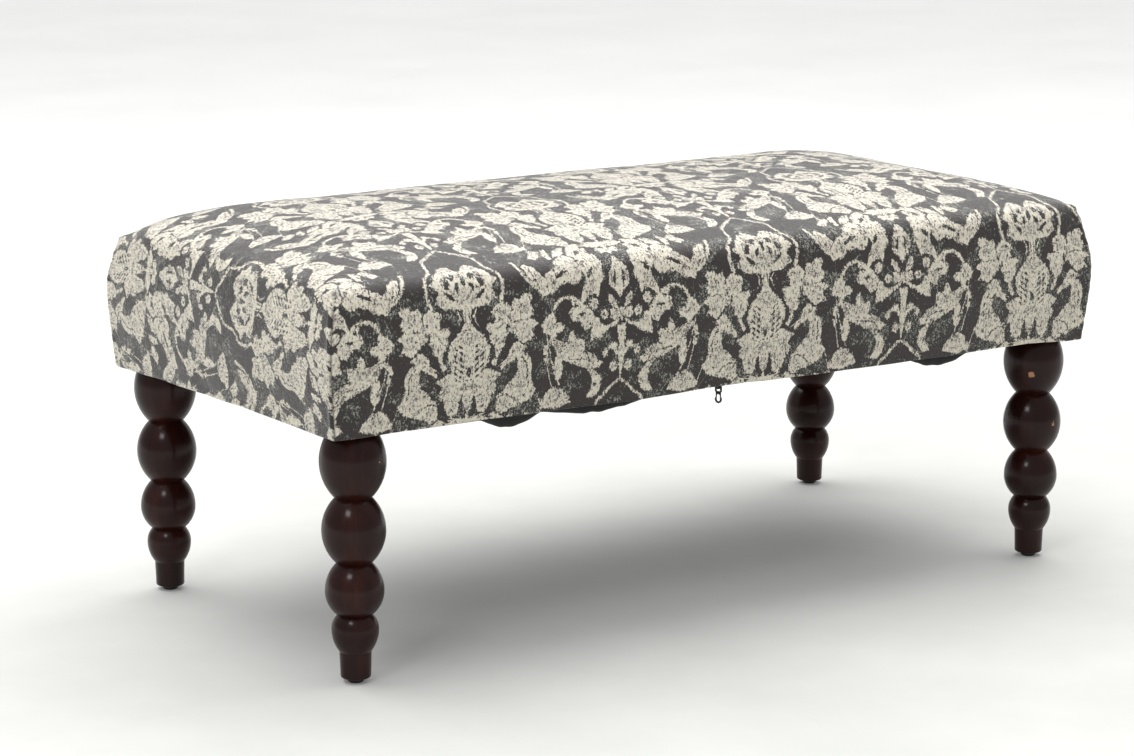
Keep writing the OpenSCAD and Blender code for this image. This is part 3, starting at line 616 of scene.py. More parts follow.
def wood_stain():
    """Dark stained and varnished wood, its grain upright, with a few chips."""
    s = Shader("dark_stained_wood", IOR=1.45, Specular_IOR_Level=0.08,
               Coat_Weight=0.34, Coat_Roughness=0.17)
    grain = s.noise(s.coords(scale=(60, 60, 3.2)), 1.0, 5, 0.6, 0.4)
    cloud = s.noise(s.coords(), 14.0, 3)
    tone = s.line(grain, 0.6, s.times(cloud, 0.4))
    colour = s.ramp(tone, (0.3, srgb(22, 7, 5)), (0.52, srgb(36, 12, 8)), (0.76, srgb(60, 24, 16)))
    place = s.coords()
    near = FAR
    for x, y, z, wide in CHIPS:
        gap = s.vector("DISTANCE", place, (x, y, z))
        near = s.math("MINIMUM", near, s.times(gap, 1 / wide))
    rough_edge = s.line(s.noise(place, 420.0, 3), 1.6, -0.8)
    chip = s.steps(s.math("ADD", near, rough_edge), 0.7, 0.95, 1.0, 0.0)
    colour = s.mix(chip, colour, srgb(176, 128, 92))
    s.bump(s.math("SUBTRACT", grain, s.times(chip, 1.5)), 0.0006, 0.2)
    rough = s.steps(cloud, 0.3, 0.7, 0.26, 0.38)
    return s.set(Base_Color=colour, Roughness=rough)


# Yarns in a metre, two to a wave, for each unit of a wave texture's scale
YARNS_PER_SCALE = 6.4


def plain_weave(name, dark, light, pitch=0.0008, sheen=0.2):
    """Cloth woven over and under, with a yarn for each pitch."""
    s = Shader(name, Roughness=0.85, Sheen_Weight=sheen)
    waves = []
    for turn in (0, math.radians(90)):
        inputs = {"Vector": s.coords(turn=turn), "Scale": 1 / (pitch * YARNS_PER_SCALE),
                  "Distortion": 0.4}
        waves.append(s.node("TexWave", inputs, wave_type="BANDS", bands_direction="X",
                            wave_profile="SIN").outputs[1])
    weave = s.times(*waves)
    cloud = s.noise(s.coords(), 30.0, 4)
    # the tone is partly random and partly painted shade, darker in the hollows of the weave and
    # lighter where it stands highest
    tone = s.math("ADD", s.times(weave, 0.35), s.times(cloud, 0.65))
    s.bump(weave, 0.0003, 0.5)
    return s.set(Base_Color=s.ramp(tone, (0.25, dark), (0.75, light)))


def bare_wood(name, dark, light, along):
    """Planed wood with its grain along one axis: 0 for X, 1 for Y."""
    s = Shader(name, IOR=1.5)
    scale = [42.0, 42.0, 42.0]
    scale[along] = 2.4
    grain = s.noise(s.coords(scale=tuple(scale)), 1.0, 6, 0.6, 0.8)
    fine = s.noise(s.coords(scale=tuple(v * 6 for v in scale)), 1.0, 2)
    tone = s.math("ADD", s.times(grain, 0.75), s.times(fine, 0.25))
    s.bump(fine, 0.0004, 0.3)
    return s.set(Base_Color=s.ramp(tone, (0.3, dark), (0.7, light)), Roughness=0.65)


def metal(name, tint, rough=0.3, metallic=1.0):
    """Metal with fine scratches, duller in colour and gloss where they lie."""
    s = Shader(name, Metallic=metallic)
    scratch = s.noise(s.coords(scale=(900, 900, 120)), 1.0, 3)
    dull = tuple(c * 0.7 for c in tint[:3]) + (1,)
    s.bump(scratch, 0.0001, 0.2)
    return s.set(Base_Color=s.mix(scratch, dull, tint),
                 Roughness=s.steps(scratch, 0.2, 0.8, rough, rough + 0.15))


def soft_plastic(name, dark, light):
    s = Shader(name, Roughness=0.5, IOR=1.46)
    cloud = s.noise(s.coords(), 220.0, 4)
    s.bump(cloud, 0.0002, 0.3)
    return s.set(Base_Color=s.ramp(cloud, (0.3, dark), (0.7, light)))


def coil_plastic(name, dark, light, pitch):
    """Plastic with a ridge for each turn of a zip's coil; its colour is painted shade, darker
    between the ridges and lighter on them.
    """
    s = Shader(name, IOR=1.46)
    x, _, _ = s.node("SeparateXYZ", [s.coords()]).outputs
    turn = s.math("SINE", s.times(x, math.tau / pitch))
    s.bump(turn, pitch / 3, 0.8)
    # painted shade and highlight: dark between the coil's ridges, light on their tops
    return s.set(Base_Color=s.ramp(s.line(turn, 0.5, 0.5), (0.2, dark), (0.8, light)),
                 Roughness=0.4)


def filling(name, dark, light, size, depth):
    """Wadding or foam: bumps of one size and depth."""
    s = Shader(name, Sheen_Weight=0.2)
    cloud = s.noise(s.coords(), 1 / size, 6, 0.7)
    s.bump(cloud, depth, 0.6)
    return s.set(Base_Color=s.ramp(cloud, (0.3, dark), (0.7, light)), Roughness=0.95)


# ---------------------------------------------------------------- damask

# The damask's drawing, in millimetres of cloth: x from a motif's mirror line, v down the cloth.
# Each form has a centre and the corners of its outline; each line has a centre, half its
# thickness and the points that it runs through.
PALMETTE_FORMS = {
    "head": ((0, 6), (0, -9), (8, -19), (14, -22), (21, -18), (26, -12), (31, -8), (33, -2),
        (40, 3), (33, 8), (30, 12), (34, 17), (36, 23), (31, 24), (25, 29), (12, 30), (5, 31),
        (4, 44), (0, 46)),
    "leaf_1": ((66, 36), (54, 30), (58, 25), (63, 28), (68, 23), (76, 22), (79, 27), (75, 32),
        (78, 38), (79, 45), (72, 46), (67, 49), (60, 48), (56, 45), (54, 38)),
    "leaf_2": ((68, 60), (57, 51), (64, 49), (70, 52), (76, 49), (84, 54), (77, 58), (76, 62),
        (81, 69), (73, 70), (66, 73), (60, 68), (55, 63), (56, 57)),
    "leaf_join": ((61, 49), (50, 40), (57, 37), (72, 42), (76, 50), (70, 58), (59, 62), (48, 60),
        (47, 50)),
    "leaf_3": ((42, 40), (33, 31), (38, 30), (43, 27), (48, 30), (52, 34), (51, 40), (53, 46),
        (48, 51), (38, 50), (32, 47), (33, 41), (29, 37)),
    "leaf_4": ((35, 60), (24, 48), (31, 49), (38, 47), (45, 51), (44, 57), (47, 61), (43, 66),
        (42, 73), (37, 76), (32, 72), (31, 67), (24, 64), (26, 58), (21, 53)),
    "body": ((0, 75), (0, 42), (4, 46), (8, 52), (14, 57), (20, 63), (24, 70), (25, 78), (23, 86),
        (19, 93), (18, 97), (0, 100)),
    "diagonal": ((52, 82), (54, 71), (59, 70), (63, 74), (70, 77), (65, 80), (61, 84), (56, 86),
        (52, 91), (46, 92), (40, 97), (33, 94), (41, 90), (45, 86), (48, 79)),
    "big_c": ((66, 114), (60, 97), (57, 91), (56, 85), (61, 81), (68, 83), (73, 89), (76, 98),
        (75, 108), (76, 117), (83, 124), (79, 129), (76, 134), (66, 138), (58, 141), (48, 143),
        (40, 145), (39, 134), (42, 126), (44, 119), (50, 112), (56, 108)),
    "cluster": ((0, 108), (0, 92), (12, 94), (25, 95), (32, 99), (39, 102), (34, 106), (30, 110),
        (34, 115), (33, 121), (28, 128), (16, 128), (0, 128)),
    "petal_1": ((0, 130), (0, 118), (4, 122), (6, 128), (4, 135), (0, 141)),
    "petal_2": ((19, 130), (12, 120), (24, 118), (28, 124), (27, 132), (24, 139), (19, 143),
        (13, 140), (10, 133)),
    "petal_3": ((45, 134), (36, 124), (44, 122), (52, 132), (50, 143), (42, 147), (35, 143),
        (36, 134)),
    "base": ((0, 150), (0, 141), (5, 147), (11, 143), (17, 148), (23, 143), (27, 150), (20, 153),
        (12, 158), (6, 154), (0, 159)),
    "base_leaf": ((36, 152), (26, 147), (33, 144), (41, 149), (47, 158), (40, 159), (31, 157)),
    "foot": ((0, 163), (0, 157), (5, 160), (10, 157), (14, 162), (10, 168), (5, 166), (0, 171)),
    "foot_leaf": ((59, 158), (47, 149), (56, 150), (64, 156), (69, 165), (61, 165), (53, 160)),
    "foot_bud": ((29, 159), (23, 155), (28, 154), (33, 159), (36, 166), (29, 166), (25, 161)),
    "foot_cross": ((44, 160), (38, 151), (43, 149), (48, 157), (51, 166), (45, 170), (41, 163)),
    "foot_blade": ((74, 159), (70, 149), (76, 151), (79, 158), (77, 168), (72, 167)),
    "foot_spray": ((88, 158), (79, 154), (86, 150), (92, 155), (99, 163), (91, 167), (84, 162)),
    "side_leaf": ((85, 6), (73, -8), (78, -10), (83, -6), (87, -4), (90, 2), (95, 8), (97, 14),
        (103, 20), (93, 20), (84, 15), (77, 6)),
}
PALMETTE_LINES = {
    "ogee": ((0, 5), 1.7, (0, -58), (12, -49), (20, -42), (29, -35), (31, -25), (33, -14), (38, -9),
        (43, -3), (45, 4), (45, 12), (43, 20), (40, 28)),
    "scroll": ((2, 39), 0.9, (13, 49.5), (11, 47.3), (9, 44), (7.6, 39), (9.5, 34), (12, 30.5)),
    "crescent": ((15, 79), 2.2, (27, 65), (32, 70), (34.5, 77), (33, 84), (28, 91)),
    "side_line": ((100, -20), 1.8, (66, -16), (68, -7), (71, 1), (76, 9), (84, 17), (96, 22)),
}
PALMETTE_CUTS = {
    "oval": ((18, 17), (12, 22), (14, 17), (19, 13), (25, 11), (22, 16), (17, 21)),
    "wedge": ((20, 4), (16, -2), (21, -1), (25, 3), (24, 9), (19, 9), (17, 4)),
    "wedge_2": ((12, -4), (7, -7), (12, -8.5), (16, -4), (13, 0), (9, -2)),
    "heart": ((9, 8), (5.5, 3), (9.5, 4), (12, 9), (9.5, 14), (6.5, 10)),
    "heart_2": ((0, 1), (0, -5), (2.8, -1), (2.2, 5), (0, 9)),
    "gap_1": ((8, 131), (7, 120), (10, 127), (11, 134), (8.5, 141), (5.5, 136), (5.5, 129)),
    "gap_2": ((31, 131), (29, 121), (34, 127), (35.5, 134), (32, 140), (28.5, 137), (28, 129)),
    "stem_slit": ((2.5, 37), (2, 30), (3.2, 36), (2.6, 44), (1.8, 38)),
    "navel": ((1, 96), (0, 90), (2.5, 93), (2.5, 99), (0, 102)),
    "leaf_gap": ((49, 64), (47, 58), (51, 60), (54, 66), (51, 71), (47, 66)),
}
# Thin dark lines drawn over the forms
PALMETTE_SLITS = {
    "leaf_line": ((40, 20), 0.6, (78, 46), (70, 49), (62, 48), (53, 50)),
    "leaf_line_2": ((20, 46), 0.6, (54, 33), (51, 42), (50, 50), (47, 58)),
    "c_line": ((54, 104), 0.8, (63, 86), (69, 93), (71, 103), (70, 112)),
    "petal_line": ((45, 150), 0.7, (36, 128), (46, 126), (56, 131), (60, 137)),
}
BRANCH_FORMS = {
    "pendant": ((0, 18), (0, -8), (4, -3), (6, 2), (10, 8), (12.5, 15), (12.5, 22), (9, 28),
        (4, 31), (1.5, 36), (0, 40)),
    "heavy_1": ((32, 10), (20, -14), (20, -6), (18, 0), (20, 8), (18, 15), (23, 21), (25, 27),
        (27, 35), (31, 31), (36, 31), (42, 34), (51, 43), (48, 33), (45, 24), (41, 19), (40, 12),
        (46, 4), (46, -14), (33, -20)),
    "heavy_2": ((64, 4), (46, 0), (50, -14), (56, -19), (62, -17), (68, -14), (73, -10), (76, -2),
        (82, 2), (87, 4), (92, 9), (99, 20), (95, 28), (88, 27), (84, 23), (78, 23), (74, 18),
        (68, 18), (63, 15), (57, 19), (51, 18), (45, 11)),
    "petal": ((9.5, 41), (14, 33), (15.5, 39), (12, 45), (3, 50), (5, 44), (8, 37)),
    "quatrefoil": ((0, 54), (0, 48), (4, 51), (9, 48), (14, 49), (13, 54), (14, 58), (8, 60),
        (4, 58), (0, 62)),
    "ball": ((21, 54), (17, 50.5), (21, 49), (25, 50.5), (26, 54), (24, 58), (18, 58), (16, 54)),
    "blade": ((31, 68), (32, 55), (36, 59), (37, 66), (39, 80), (32, 78), (26, 76), (21, 73),
        (15, 68), (27, 67)),
    "head_ball": ((34, 41), (29.5, 37), (34, 35), (38, 38), (39, 43), (36, 47), (31, 46), (28, 42)),
    "curl_head": ((47, 51), (35, 50), (39, 47), (42, 42), (49, 39), (54, 34), (60, 31), (62, 36),
        (59, 42), (64, 46), (64, 52), (60, 57), (54, 57), (50, 62), (46, 67), (40, 66), (37, 61),
        (34, 57)),
    "arch_flower": ((86, 60), (84, 47), (89, 47), (94, 50), (99, 57), (97, 65), (91, 67), (87, 74),
        (84, 74), (81, 67), (74, 66), (71, 60), (76, 57), (82, 57), (81, 52)),
    "bird": ((66, 84), (46, 80), (49, 76), (54, 76), (57, 79), (58, 72), (61, 66), (65, 70),
        (67, 78), (73, 78), (80, 76), (85, 72), (88, 77), (84, 83), (80, 90), (76, 98), (68, 95),
        (60, 93), (52, 94), (47, 89)),
    "bird_blade": ((78, 105), (76, 92), (82, 92), (83, 98), (84, 107), (82, 115), (78, 119),
        (74, 114), (73, 105), (74, 98)),
    "low_leaf": ((45, 100), (72, 97), (64, 94), (58, 91), (51, 93), (45, 91), (38, 94), (33, 96),
        (30, 101), (23, 105), (28, 110), (36, 110), (42, 108), (50, 107), (58, 103)),
    "low_hook": ((30, 126), (46, 105), (38, 108), (33, 112), (27, 117), (23, 124), (24, 131),
        (27, 137), (33, 142), (42, 141), (41, 135), (35, 131), (34, 124), (37, 117)),
    "spear": ((0, 82), (0, 66), (5, 66), (5, 73), (4, 80), (3, 88), (4.5, 96), (3, 104), (2, 114),
        (0, 124)),
    "small_petal": ((10, 88), (5, 88), (8, 84), (12, 84), (14, 87), (11, 90), (7, 92)),
    "curl_ball": ((20.5, 96), (18, 93), (22, 92), (24, 96), (21, 100), (17, 98)),
    "lobe": ((9, 110), (4, 108), (8, 104), (13, 107), (13.5, 113), (8, 116), (5, 113)),
    "dome": ((80, 142), (61, 144), (64, 138), (67, 134), (70, 132), (74, 127), (79, 127), (83, 125),
        (88, 128), (92, 131), (95, 136), (100, 141), (99, 146), (80, 149)),
}
BRANCH_LINES = {
    "u_line": ((19, 54), 1.8, (4, 59), (7, 63), (12, 66), (20, 68), (28, 64), (31, 56)),
    "arch": ((67, 53), 1.7, (50, 41), (54, 36), (60, 32.5), (67, 31.5), (74, 33), (80, 37),
        (85, 44), (87, 54)),
    "wing": ((83, 90), 2.6, (86, 74), (91, 77), (95, 83), (95, 90), (92, 98)),
    "curl": ((13, 99), 1.7, (4, 98), (6, 94), (10, 90.5), (15, 90), (20, 92), (22, 97)),
}
BRANCH_CUTS = {
    "eye": ((50, 50), (44, 50), (49, 48), (56, 50), (50, 53)),
    "eye_2": ((56, 41), (53, 41), (56, 39), (59, 41), (56, 44)),
    "pendant_slit": ((5, 17), (4, 8), (6.5, 13), (7.5, 20), (5, 26), (3.5, 18)),
    "heavy_slit": ((34, 8), (30, 2), (35, 4), (40, 10), (38, 14), (33, 10)),
    "heavy_slit_2": ((68, 5), (60, 3), (68, 2.5), (77, 8), (79, 12), (68, 8)),
    "wing_gap": ((85, 88), (84, 80), (88, 82), (89, 90), (86, 98), (83, 90)),
}
BRANCH_SLITS = {
    "leaf_line": ((45, 122), 0.7, (66, 97), (56, 98), (46, 99), (36, 103)),
}
# Places where the light forms are woven in grey: centre, then half width and half height
PALMETTE_GREYS = ((63, 112, 7, 18), (67, 37, 9, 7), (68, 61, 8, 7), (42, 40, 6, 8), (5, 18, 16, 9),
                  (8, 58, 11, 7), (28, 112, 9, 9), (18, 132, 5, 7), (88, 8, 5, 9), (45, 135, 6, 6))
BRANCH_GREYS = ((40, 27, 6, 11), (33, 41, 4, 4), (3, 54, 9, 4), (62, 85, 11, 6), (38, 98, 14, 4),
                (90, 58, 6, 7), (80, 137, 12, 8), (44, 56, 6, 7), (11, 40, 3, 6), (9, 110, 4, 4))

# Distance between mirror lines, length of the repeat and where it is cut
AXIS_STEP, REPEAT, REPEAT_LOW = 187.5, 365.0, -58.0
# Place of a palmette's mirror line and of its v = 0 on the cover's cloth
PATTERN_X, PATTERN_V = 35.0, 245.5


# Longest turn between two places of an outline, how far a line's ends reach round its
# centre, and the trace of one shape's distance in the next one's
OUTLINE_TURN, LINE_END, TRACE = 0.12, 0.002, 1e-7


def outline(centre, corners, kind):
    """An outline as (share of a turn, distance from the centre), straight between corners.

    It is "closed", "half", which is cut by its mirror line, or a "line" with two ends.
    """
    ends = corners[1:] + corners[:1] if kind == "closed" else corners[1:]
    found = []
    for (x0, v0), (x1, v1) in zip(corners, ends):
        angles = [math.atan2(v - centre[1], x - centre[0]) for x, v in ((x0, v0), (x1, v1))]
        turn = (angles[1] - angles[0] + math.pi) % math.tau - math.pi
        count = max(1, int(abs(turn) / OUTLINE_TURN))
        for k in range(count):
            x, v = x0 + (x1 - x0) * k / count, v0 + (v1 - v0) * k / count
            found.append((math.atan2(v - centre[1], x - centre[0]) / math.tau + 0.5,
                          math.hypot(x - centre[0], v - centre[1])))
    if kind != "closed":
        found.append((angles[1] / math.tau + 0.5, math.hypot(x1 - centre[0], v1 - centre[1])))
    found.sort()
    if kind == "closed":
        (a, low), (b, high) = found[0], found[-1]
        seam = high + (low - high) * (1 - b) / (a + 1 - b)
        return [(0, seam)] + found + [(1, seam)]
    if kind == "half":
        return [(0, found[0][1])] + found + [(1, found[-1][1])]
    return ([(0, BEYOND), (found[0][0] - LINE_END, BEYOND)] + found
            + [(found[-1][0] + LINE_END, BEYOND), (1, BEYOND)])


def placed_shapes(*tables):
    """Each shape wherever it reaches the strip between two mirror lines.

    A table comes with the place along the repeat at which its drawing starts. Beyond a
    mirror line's halfway the pattern is turned over and moved on by half a repeat.
    """
    shapes = []
    for table, start in tables:
        for data in table.values():
            line = isinstance(data[1], float)
            centre, corners = data[0], list(data[2:] if line else data[1:])
            kind = "line" if line else "half" if centre[0] == 0 else "closed"
            for over in (False, True):
                for turns in (-1, 0, 1):
                    move = start + turns * REPEAT + (REPEAT / 2 if over else 0)
                    spots = [(AXIS_STEP - x if over else x, v + move)
                             for x, v in [centre] + corners]
                    xs, vs = [q[0] for q in spots[1:]], [q[1] for q in spots[1:]]
                    if (min(xs) < AXIS_STEP / 2 and max(vs) > REPEAT_LOW
                            and min(vs) < REPEAT_LOW + REPEAT):
                        shapes.append((spots[0], spots[1:], kind, data[1] if line else 0))
    return shapes


def nearest(s, x, v, shapes):
    """Distance in millimetres to the nearest shape; negative inside.

    Each shape's x takes a trace of the result so far, so that the renderer works the
    shapes out one after another and never holds them all at once.
    """
    result = FAR
    for centre, corners, kind, half in shapes:
        dx = s.math("SUBTRACT", s.line(result, TRACE, x), centre[0])
        dv = s.math("SUBTRACT", v, centre[1])
        share = s.line(s.math("ARCTAN2", dv, dx), 1 / math.tau, 0.5)
        reach = s.vector("LENGTH", s.node("CombineXYZ", [dx, dv, 0.0]).outputs[0])
        gap = s.math("SUBTRACT", reach, s.curve(share, outline(centre, corners, kind)))
        if kind == "line":
            gap = s.math("SUBTRACT", s.math("ABSOLUTE", gap), half)
        result = s.math("MINIMUM", result, gap)
    return result


def nearest_spot(s, x, v, spots):
    """Distance to the nearest ellipse, as a share of its size."""
    result = FAR
    for cx, cv, wide, high in spots:
        chained = s.line(result, TRACE, x)
        dx = s.line(chained, 1 / wide, -cx / wide)
        dv = s.line(v, 1 / high, -cv / high)
        reach = s.vector("LENGTH", s.node("CombineXYZ", [dx, dv, 0.0]).outputs[0])
        result = s.math("MINIMUM", result, reach)
    return result


# The damask is worked out in millimetres, MM to a metre; its edges wander by up to WANDER
MM, WANDER = 1000.0, 2.6
# Seeds on the flank of the palmette's fruit: its ellipse, and the rows and columns that they
# lie in, each with its pitch; the rows slant, and the columns have their first middle
SEED_FLANK = (12.5, 85, 7.5, 20)
SEED_ROW, SEED_SLANT, SEED_COLUMN, SEED_FIRST = 6.2, 0.7, 6.5, 9.5
# Cells in which yarns cross, width by length, and the pitch of the weave
YARN_CELLS, WEAVE_PITCH = ((1.5, 1.0), (0.9, 2.1)), 1.3
CREAM_DULL, CREAM_PALE = srgb(212, 204, 184), srgb(241, 235, 219)
GREY_YARN, DARK_YARN, PALE_YARN = srgb(186, 180, 178), srgb(108, 99, 92), srgb(176, 172, 160)
# The last colour is painted shade for the seams' grooves and the ears
BROWN_GROUND, GREEN_GROUND, SEAM_SHADE_COLOUR = srgb(32, 20, 17), srgb(23, 25, 21), srgb(34, 31, 28)


def place_in_pattern(s, cloth):
    """The cloth's place with wandering edges, its distance from the nearest mirror line and
    its place along the repeat."""
    coarse, fine = [s.node("TexNoise", {"Vector": cloth, "Scale": scale, "Detail": 2.0}).outputs[1]
                    for scale in (0.11, 0.55)]
    wobble = s.vector("SUBTRACT", s.vector("ADD", coarse, fine), (1, 1, 1))
    ragged = s.vector("MULTIPLY_ADD", wobble, (WANDER, WANDER, 0), cloth)
    x, y, _ = s.node("SeparateXYZ", [ragged]).outputs
    column = s.line(x, 1 / AXIS_STEP, -PATTERN_X / AXIS_STEP)
    axis = s.math("ROUND", column)
    side = s.times(s.math("ABSOLUTE", s.math("SUBTRACT", column, axis)), AXIS_STEP)
    # every other mirror line is half a repeat on
    odd = s.math("FLOORED_MODULO", axis, 2.0)
    down = s.line(odd, REPEAT / 2, s.line(y, -1.0, -PATTERN_V - REPEAT_LOW))
    down = s.math("ADD", s.math("FLOORED_MODULO", down, REPEAT), REPEAT_LOW)
    return ragged, side, down


def drawing_edge(s, side, down):
    """Distance to the edge of the light forms, in millimetres and negative inside them, and
    the place in the drawing."""
    half = REPEAT / 2
    forms = nearest(s, side, down, placed_shapes(
        (PALMETTE_FORMS, 0), (PALMETTE_LINES, 0), (BRANCH_FORMS, half), (BRANCH_LINES, half)))
    cuts = nearest(s, side, down, placed_shapes(
        (PALMETTE_CUTS, 0), (PALMETTE_SLITS, 0), (BRANCH_CUTS, half), (BRANCH_SLITS, half)))
    flank = nearest_spot(s, side, down, [SEED_FLANK])
    slanted = s.times(s.line(side, SEED_SLANT, down), math.tau / SEED_ROW)
    rows = s.math("SINE", slanted)
    across = s.times(s.line(side, 1.0, -SEED_FIRST), math.tau / SEED_COLUMN)
    columns = s.math("COSINE", across)
    seeds = s.math("MAXIMUM", s.line(flank, 8.0, -8.0),
                   s.line(s.math("ADD", rows, s.times(columns, 0.6)), -2.0, 1.0))
    # small holes and veins inside the forms, turned over with the drawing
    drawing = s.node("CombineXYZ", [side, down, 0.0]).outputs[0]
    holes = s.line(s.noise(drawing, 0.15, 3.0, 0.6), -22.0, 14.1)
    cuts = s.math("MINIMUM", s.math("MINIMUM", cuts, seeds), holes)
    return s.math("MAXIMUM", forms, s.times(cuts, -1.0)), drawing


def yarns(s, cloth, ragged):
    """Tone of the yarns, their slubs along the cloth, and the height of the weave."""
    crossings = []
    for wide, long in YARN_CELLS:
        cell = s.vector("FLOOR", s.vector("MULTIPLY", ragged, (1 / wide, 1 / long, 1.0)))
        crossings.append(s.node("TexWhiteNoise", {"Vector": cell}).outputs[0])
    slub = s.noise(s.vector("MULTIPLY", cloth, (1.0, 0.45, 1.0)), 0.45, 3.0, 0.65)
    grain = s.times(s.math("ADD", *crossings), 0.5)
    yarn = s.line(slub, 1.6, s.line(grain, 0.9, -0.75))
    waves = [s.math("SINE", s.times(place, math.tau / WEAVE_PITCH))
             for place in s.node("SeparateXYZ", [cloth]).outputs[:2]]
    return yarn, slub, s.times(*waves)


def light_yarns(s, yarn, slub, greys, drawing):
    """Cream with dark flecks, which crowd into grey parts and veins."""
    patches = s.noise(drawing, 0.07, 4.0, 0.65)
    spots = s.steps(greys, 0.5, 1.3, 1.0, 0.0)
    crowd = s.math("MAXIMUM", s.times(spots, 0.6), s.steps(patches, 0.5, 0.64, 0.0, 1.0))
    vein = s.math("ABSOLUTE", s.line(s.noise(drawing, 0.055, 2.0, 0.5), 34.0, -17.0))
    crowd = s.math("MAXIMUM", crowd, s.steps(vein, 0.3, 1.3, 0.6, 0.0))
    level = s.line(crowd, 0.42, 0.11)
    flecks = s.steps(s.math("SUBTRACT", yarn, level), -0.12, 0.14, 1.0, 0.0)
    cream = s.ramp(slub, (0.38, CREAM_DULL), (0.62, CREAM_PALE))
    cream = s.mix(s.times(crowd, 0.35), cream, GREY_YARN)
    return s.mix(flecks, cream, DARK_YARN)


def dark_yarns(s, yarn, cloth):
    """The ground: plain brown, or greener with light flecks."""
    zone = s.steps(s.noise(cloth, 0.035, 3.0, 0.6), 0.45, 0.60, 0.0, 1.0)
    ground = s.mix(zone, BROWN_GROUND, GREEN_GROUND)
    level = s.line(zone, -0.40, 0.98)
    flecks = s.steps(s.math("SUBTRACT", yarn, level), -0.06, 0.16, 0.0, 0.75)
    return s.mix(flecks, ground, PALE_YARN)


def damask():
    """The cover's cloth: light forms on a dark ground, both woven from flecked yarns."""
    s = Shader("damask_fabric", Sheen_Weight=1.0, Sheen_Roughness=0.2, Roughness=0.5,
               Specular_IOR_Level=0.65)
    cloth = s.coords(uv="fabric", scale=(MM, MM, MM))
    ragged, side, down = place_in_pattern(s, cloth)
    edge, drawing = drawing_edge(s, side, down)
    greys = nearest_spot(s, side, down, PALMETTE_GREYS + tuple(
        (x, (v + REPEAT / 2 - REPEAT_LOW) % REPEAT + REPEAT_LOW, wide, high)
        for x, v, wide, high in BRANCH_GREYS))
    yarn, slub, weave = yarns(s, cloth, ragged)
    light = light_yarns(s, yarn, slub, greys, drawing)
    dark = dark_yarns(s, yarn, cloth)
    # the yarns fray the edge between light and dark
    worn = s.math("ADD", edge, s.line(yarn, -3.2, 1.6))
    colour = s.mix(s.steps(worn, -0.5, 0.5, 1.0, 0.0), dark, light)
    # painted shade along the seams and on the ears, from the seam_shade attribute
    shade = s.node("Attribute", attribute_name="seam_shade").outputs["Fac"]
    colour = s.mix(s.times(shade, 0.75), colour, SEAM_SHADE_COLOUR)
    height = s.math("ADD", s.times(weave, 0.25), s.times(yarn, 1.6))
    s.bump(height, 0.0006, 0.55)
    return s.set(Base_Color=colour)


# ---------------------------------------------------------------- dressing the nodes

make_cover(damask())
wadding = filling("wadding", srgb(226, 226, 222), srgb(248, 248, 246), size=0.012, depth=0.002)
foam = filling("foam", srgb(214, 196, 140), srgb(236, 222, 170), size=0.0016, depth=0.0006)
make_filling("wadding_layer", wadding, "wadding", t=0.0018, low_z=0.2668)
make_filling("foam_block", foam, "foam_core", t=0.0102, low_z=0.3658)
make_base_cloth(plain_weave("underside_cloth", srgb(14, 14, 15), srgb(34, 34, 36), sheen=0.1))

zinc = metal("zinc_steel", srgb(196, 196, 192))
timber_x = bare_wood("frame_timber_lengthwise", srgb(196, 160, 112), srgb(222, 192, 146), along=0)
timber_y = bare_wood("frame_timber_crosswise", srgb(190, 154, 108), srgb(218, 188, 142), along=1)
finishes = {
    "leg_": wood_stain(),
    "long_rail": timber_x, "end_rail": timber_y, "cross_rail": timber_y, "corner_block": timber_x,
    "deck_board": bare_wood("plywood", srgb(204, 174, 128), srgb(228, 204, 162), along=0),
    "leg_bolts": zinc, "tee_nuts": zinc, "frame_screws": zinc, "block_screws": zinc,
    "deck_screws": zinc, "glide_nails": metal("nail_steel", srgb(120, 118, 116), rough=0.4),
    "floor_glide": soft_plastic("glide_plastic", srgb(18, 15, 13), srgb(34, 29, 25)),
    "zip_tape": plain_weave("zip_tape", srgb(10, 10, 11), srgb(30, 30, 32), pitch=0.0005),
    "zip_coil": coil_plastic("zip_coil", srgb(7, 7, 8), srgb(30, 30, 32), pitch=0.0021),
    "zip_": metal("zip_metal", srgb(34, 34, 36), rough=0.35, metallic=0.6),
}
for node_name, node in NODES.items():
    key = max((k for k in finishes if node_name.startswith(k)), key=len, default=None)
    if key:
        dress(node, finishes[key])


# ---------------------------------------------------------------- floor, light and camera

# The stage faces the camera: its turn about Z, how far off its wall is, the radius of the bend
# between floor and wall, and half its width
STAGE_TURN, WALL_AT, BEND_R, STAGE_HALF = -33.2, 9.0, 1.2, 12.0
# The stage's own light, seen only by the camera and in reflections: near the bench a faint painted
# glow that lifts the bench's shadow, and far from it the plain white of the backdrop; and where it
# begins and ends to grow
PAINTED_GLOW_NEAR, GLOW_FAR, GLOW_FROM, GLOW_FULL = 0.10, 0.55, 0.7, 3.0


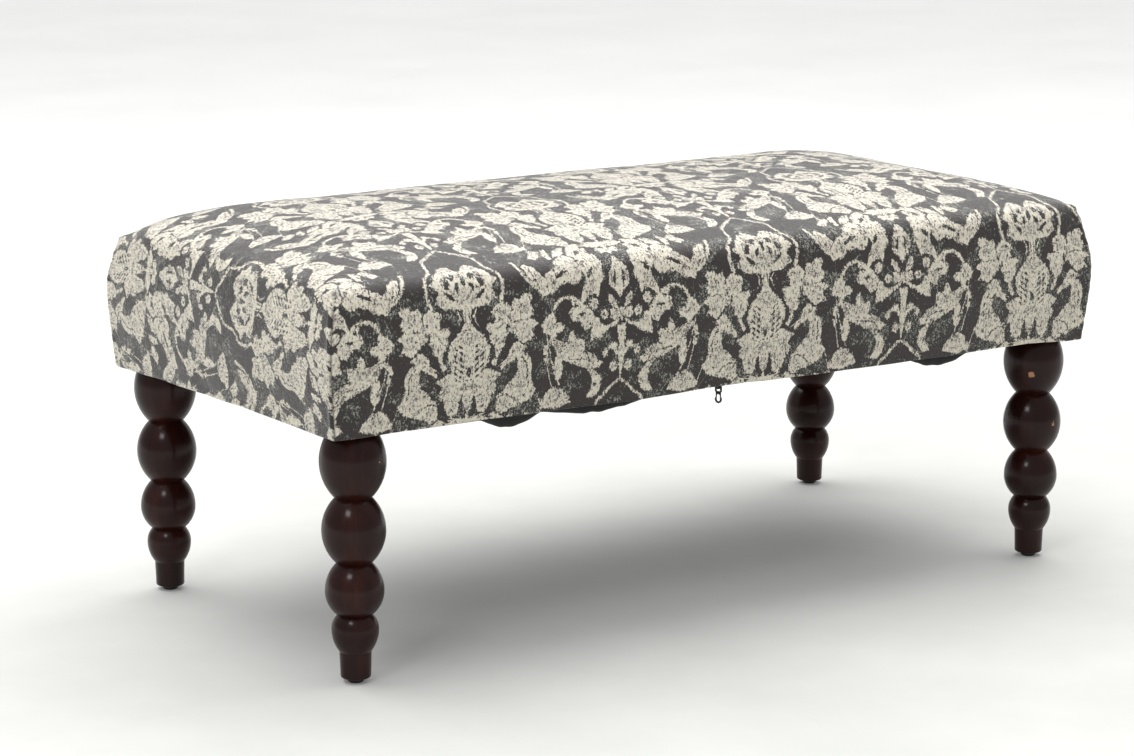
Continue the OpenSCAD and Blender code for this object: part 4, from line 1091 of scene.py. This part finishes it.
def make_stage():
    """A pale floor that curves up into a wall far behind the bench."""
    turn = math.radians(STAGE_TURN)
    rows = [(-STAGE_HALF, 0), (WALL_AT - BEND_R, 0)]
    rows += [(WALL_AT - BEND_R + BEND_R * math.sin(a), BEND_R * (1 - math.cos(a)))
             for a in np.radians(np.arange(10, 91, 10))] + [(WALL_AT, STAGE_HALF)]
    points, faces = [], []
    for across in (-STAGE_HALF, STAGE_HALF):
        for back, up in rows:
            points.append((across * math.cos(turn) - back * math.sin(turn),
                           across * math.sin(turn) + back * math.cos(turn), up))
    for k in range(len(rows) - 1):
        faces.append([k, k + len(rows), k + 1 + len(rows), k + 1])
    stage = make_mesh("stage", points, faces)
    s = Shader("studio_floor", Roughness=0.7, Specular_IOR_Level=0.2)
    cloud = s.noise(s.coords(), 2.2, 6, 0.6)
    s.set(Base_Color=s.ramp(cloud, (0.35, srgb(196, 197, 193)), (0.65, srgb(208, 208, 205))))
    # far from the bench the camera and reflections see the stage as plain white; near it they see a
    # faint painted glow that lifts the bench's shadow
    path = s.node("LightPath").outputs
    seen = s.math("MAXIMUM", path["Is Camera Ray"], path["Is Glossy Ray"])
    far = s.steps(s.vector("LENGTH", s.coords()), GLOW_FROM, GLOW_FULL, PAINTED_GLOW_NEAR, GLOW_FAR)
    s.set(Emission_Color=(1, 1, 1, 1), Emission_Strength=s.times(seen, far))
    stage.data.materials.append(s.material)


def area_light(name, place, target, size, power):
    """A rectangular lamp that faces its target."""
    data = bpy.data.lights.new(name, "AREA")
    data.shape, data.size, data.size_y = "RECTANGLE", size[0], size[1]
    data.energy = power
    lamp = bpy.data.objects.new(name, data)
    bpy.context.scene.collection.objects.link(lamp)
    lamp.location = place
    lamp.rotation_euler = (Vector(target) - Vector(place)).to_track_quat("-Z", "Y").to_euler()


def make_camera():
    """The photo's view, fitted to the seat's corners and to the beads of the legs."""
    data = bpy.data.cameras.new("camera")
    data.sensor_width, data.lens = 36.0, 106.44
    camera = bpy.data.objects.new("camera", data)
    camera.location = (-2.0794, -3.0966, 1.0272)
    tilt, roll, turn = 90 - 12.1025, 0.0627, -33.1933
    camera.rotation_euler = Euler(np.radians([tilt, roll, turn]))
    bpy.context.scene.collection.objects.link(camera)
    bpy.context.scene.camera = camera


def make_world(strength):
    world = bpy.data.worlds.new("studio")
    world.use_nodes = True
    bpy.context.scene.world = world
    sky = world.node_tree.nodes["Background"]
    sky.inputs[0].default_value = (1, 1, 1, 1)
    sky.inputs[1].default_value = strength


make_stage()
make_camera()
make_world(strength=0.52)
area_light("key", place=(-2.6, -1.6, 2.6), target=(0, 0, 0.25), size=(1.0, 0.75), power=24)
area_light("top", place=(0.2, 0.7, 2.9), target=(0, 0.1, 0.3), size=(4.4, 3.4), power=158)
bpy.context.scene.view_settings.view_transform = "Standard"
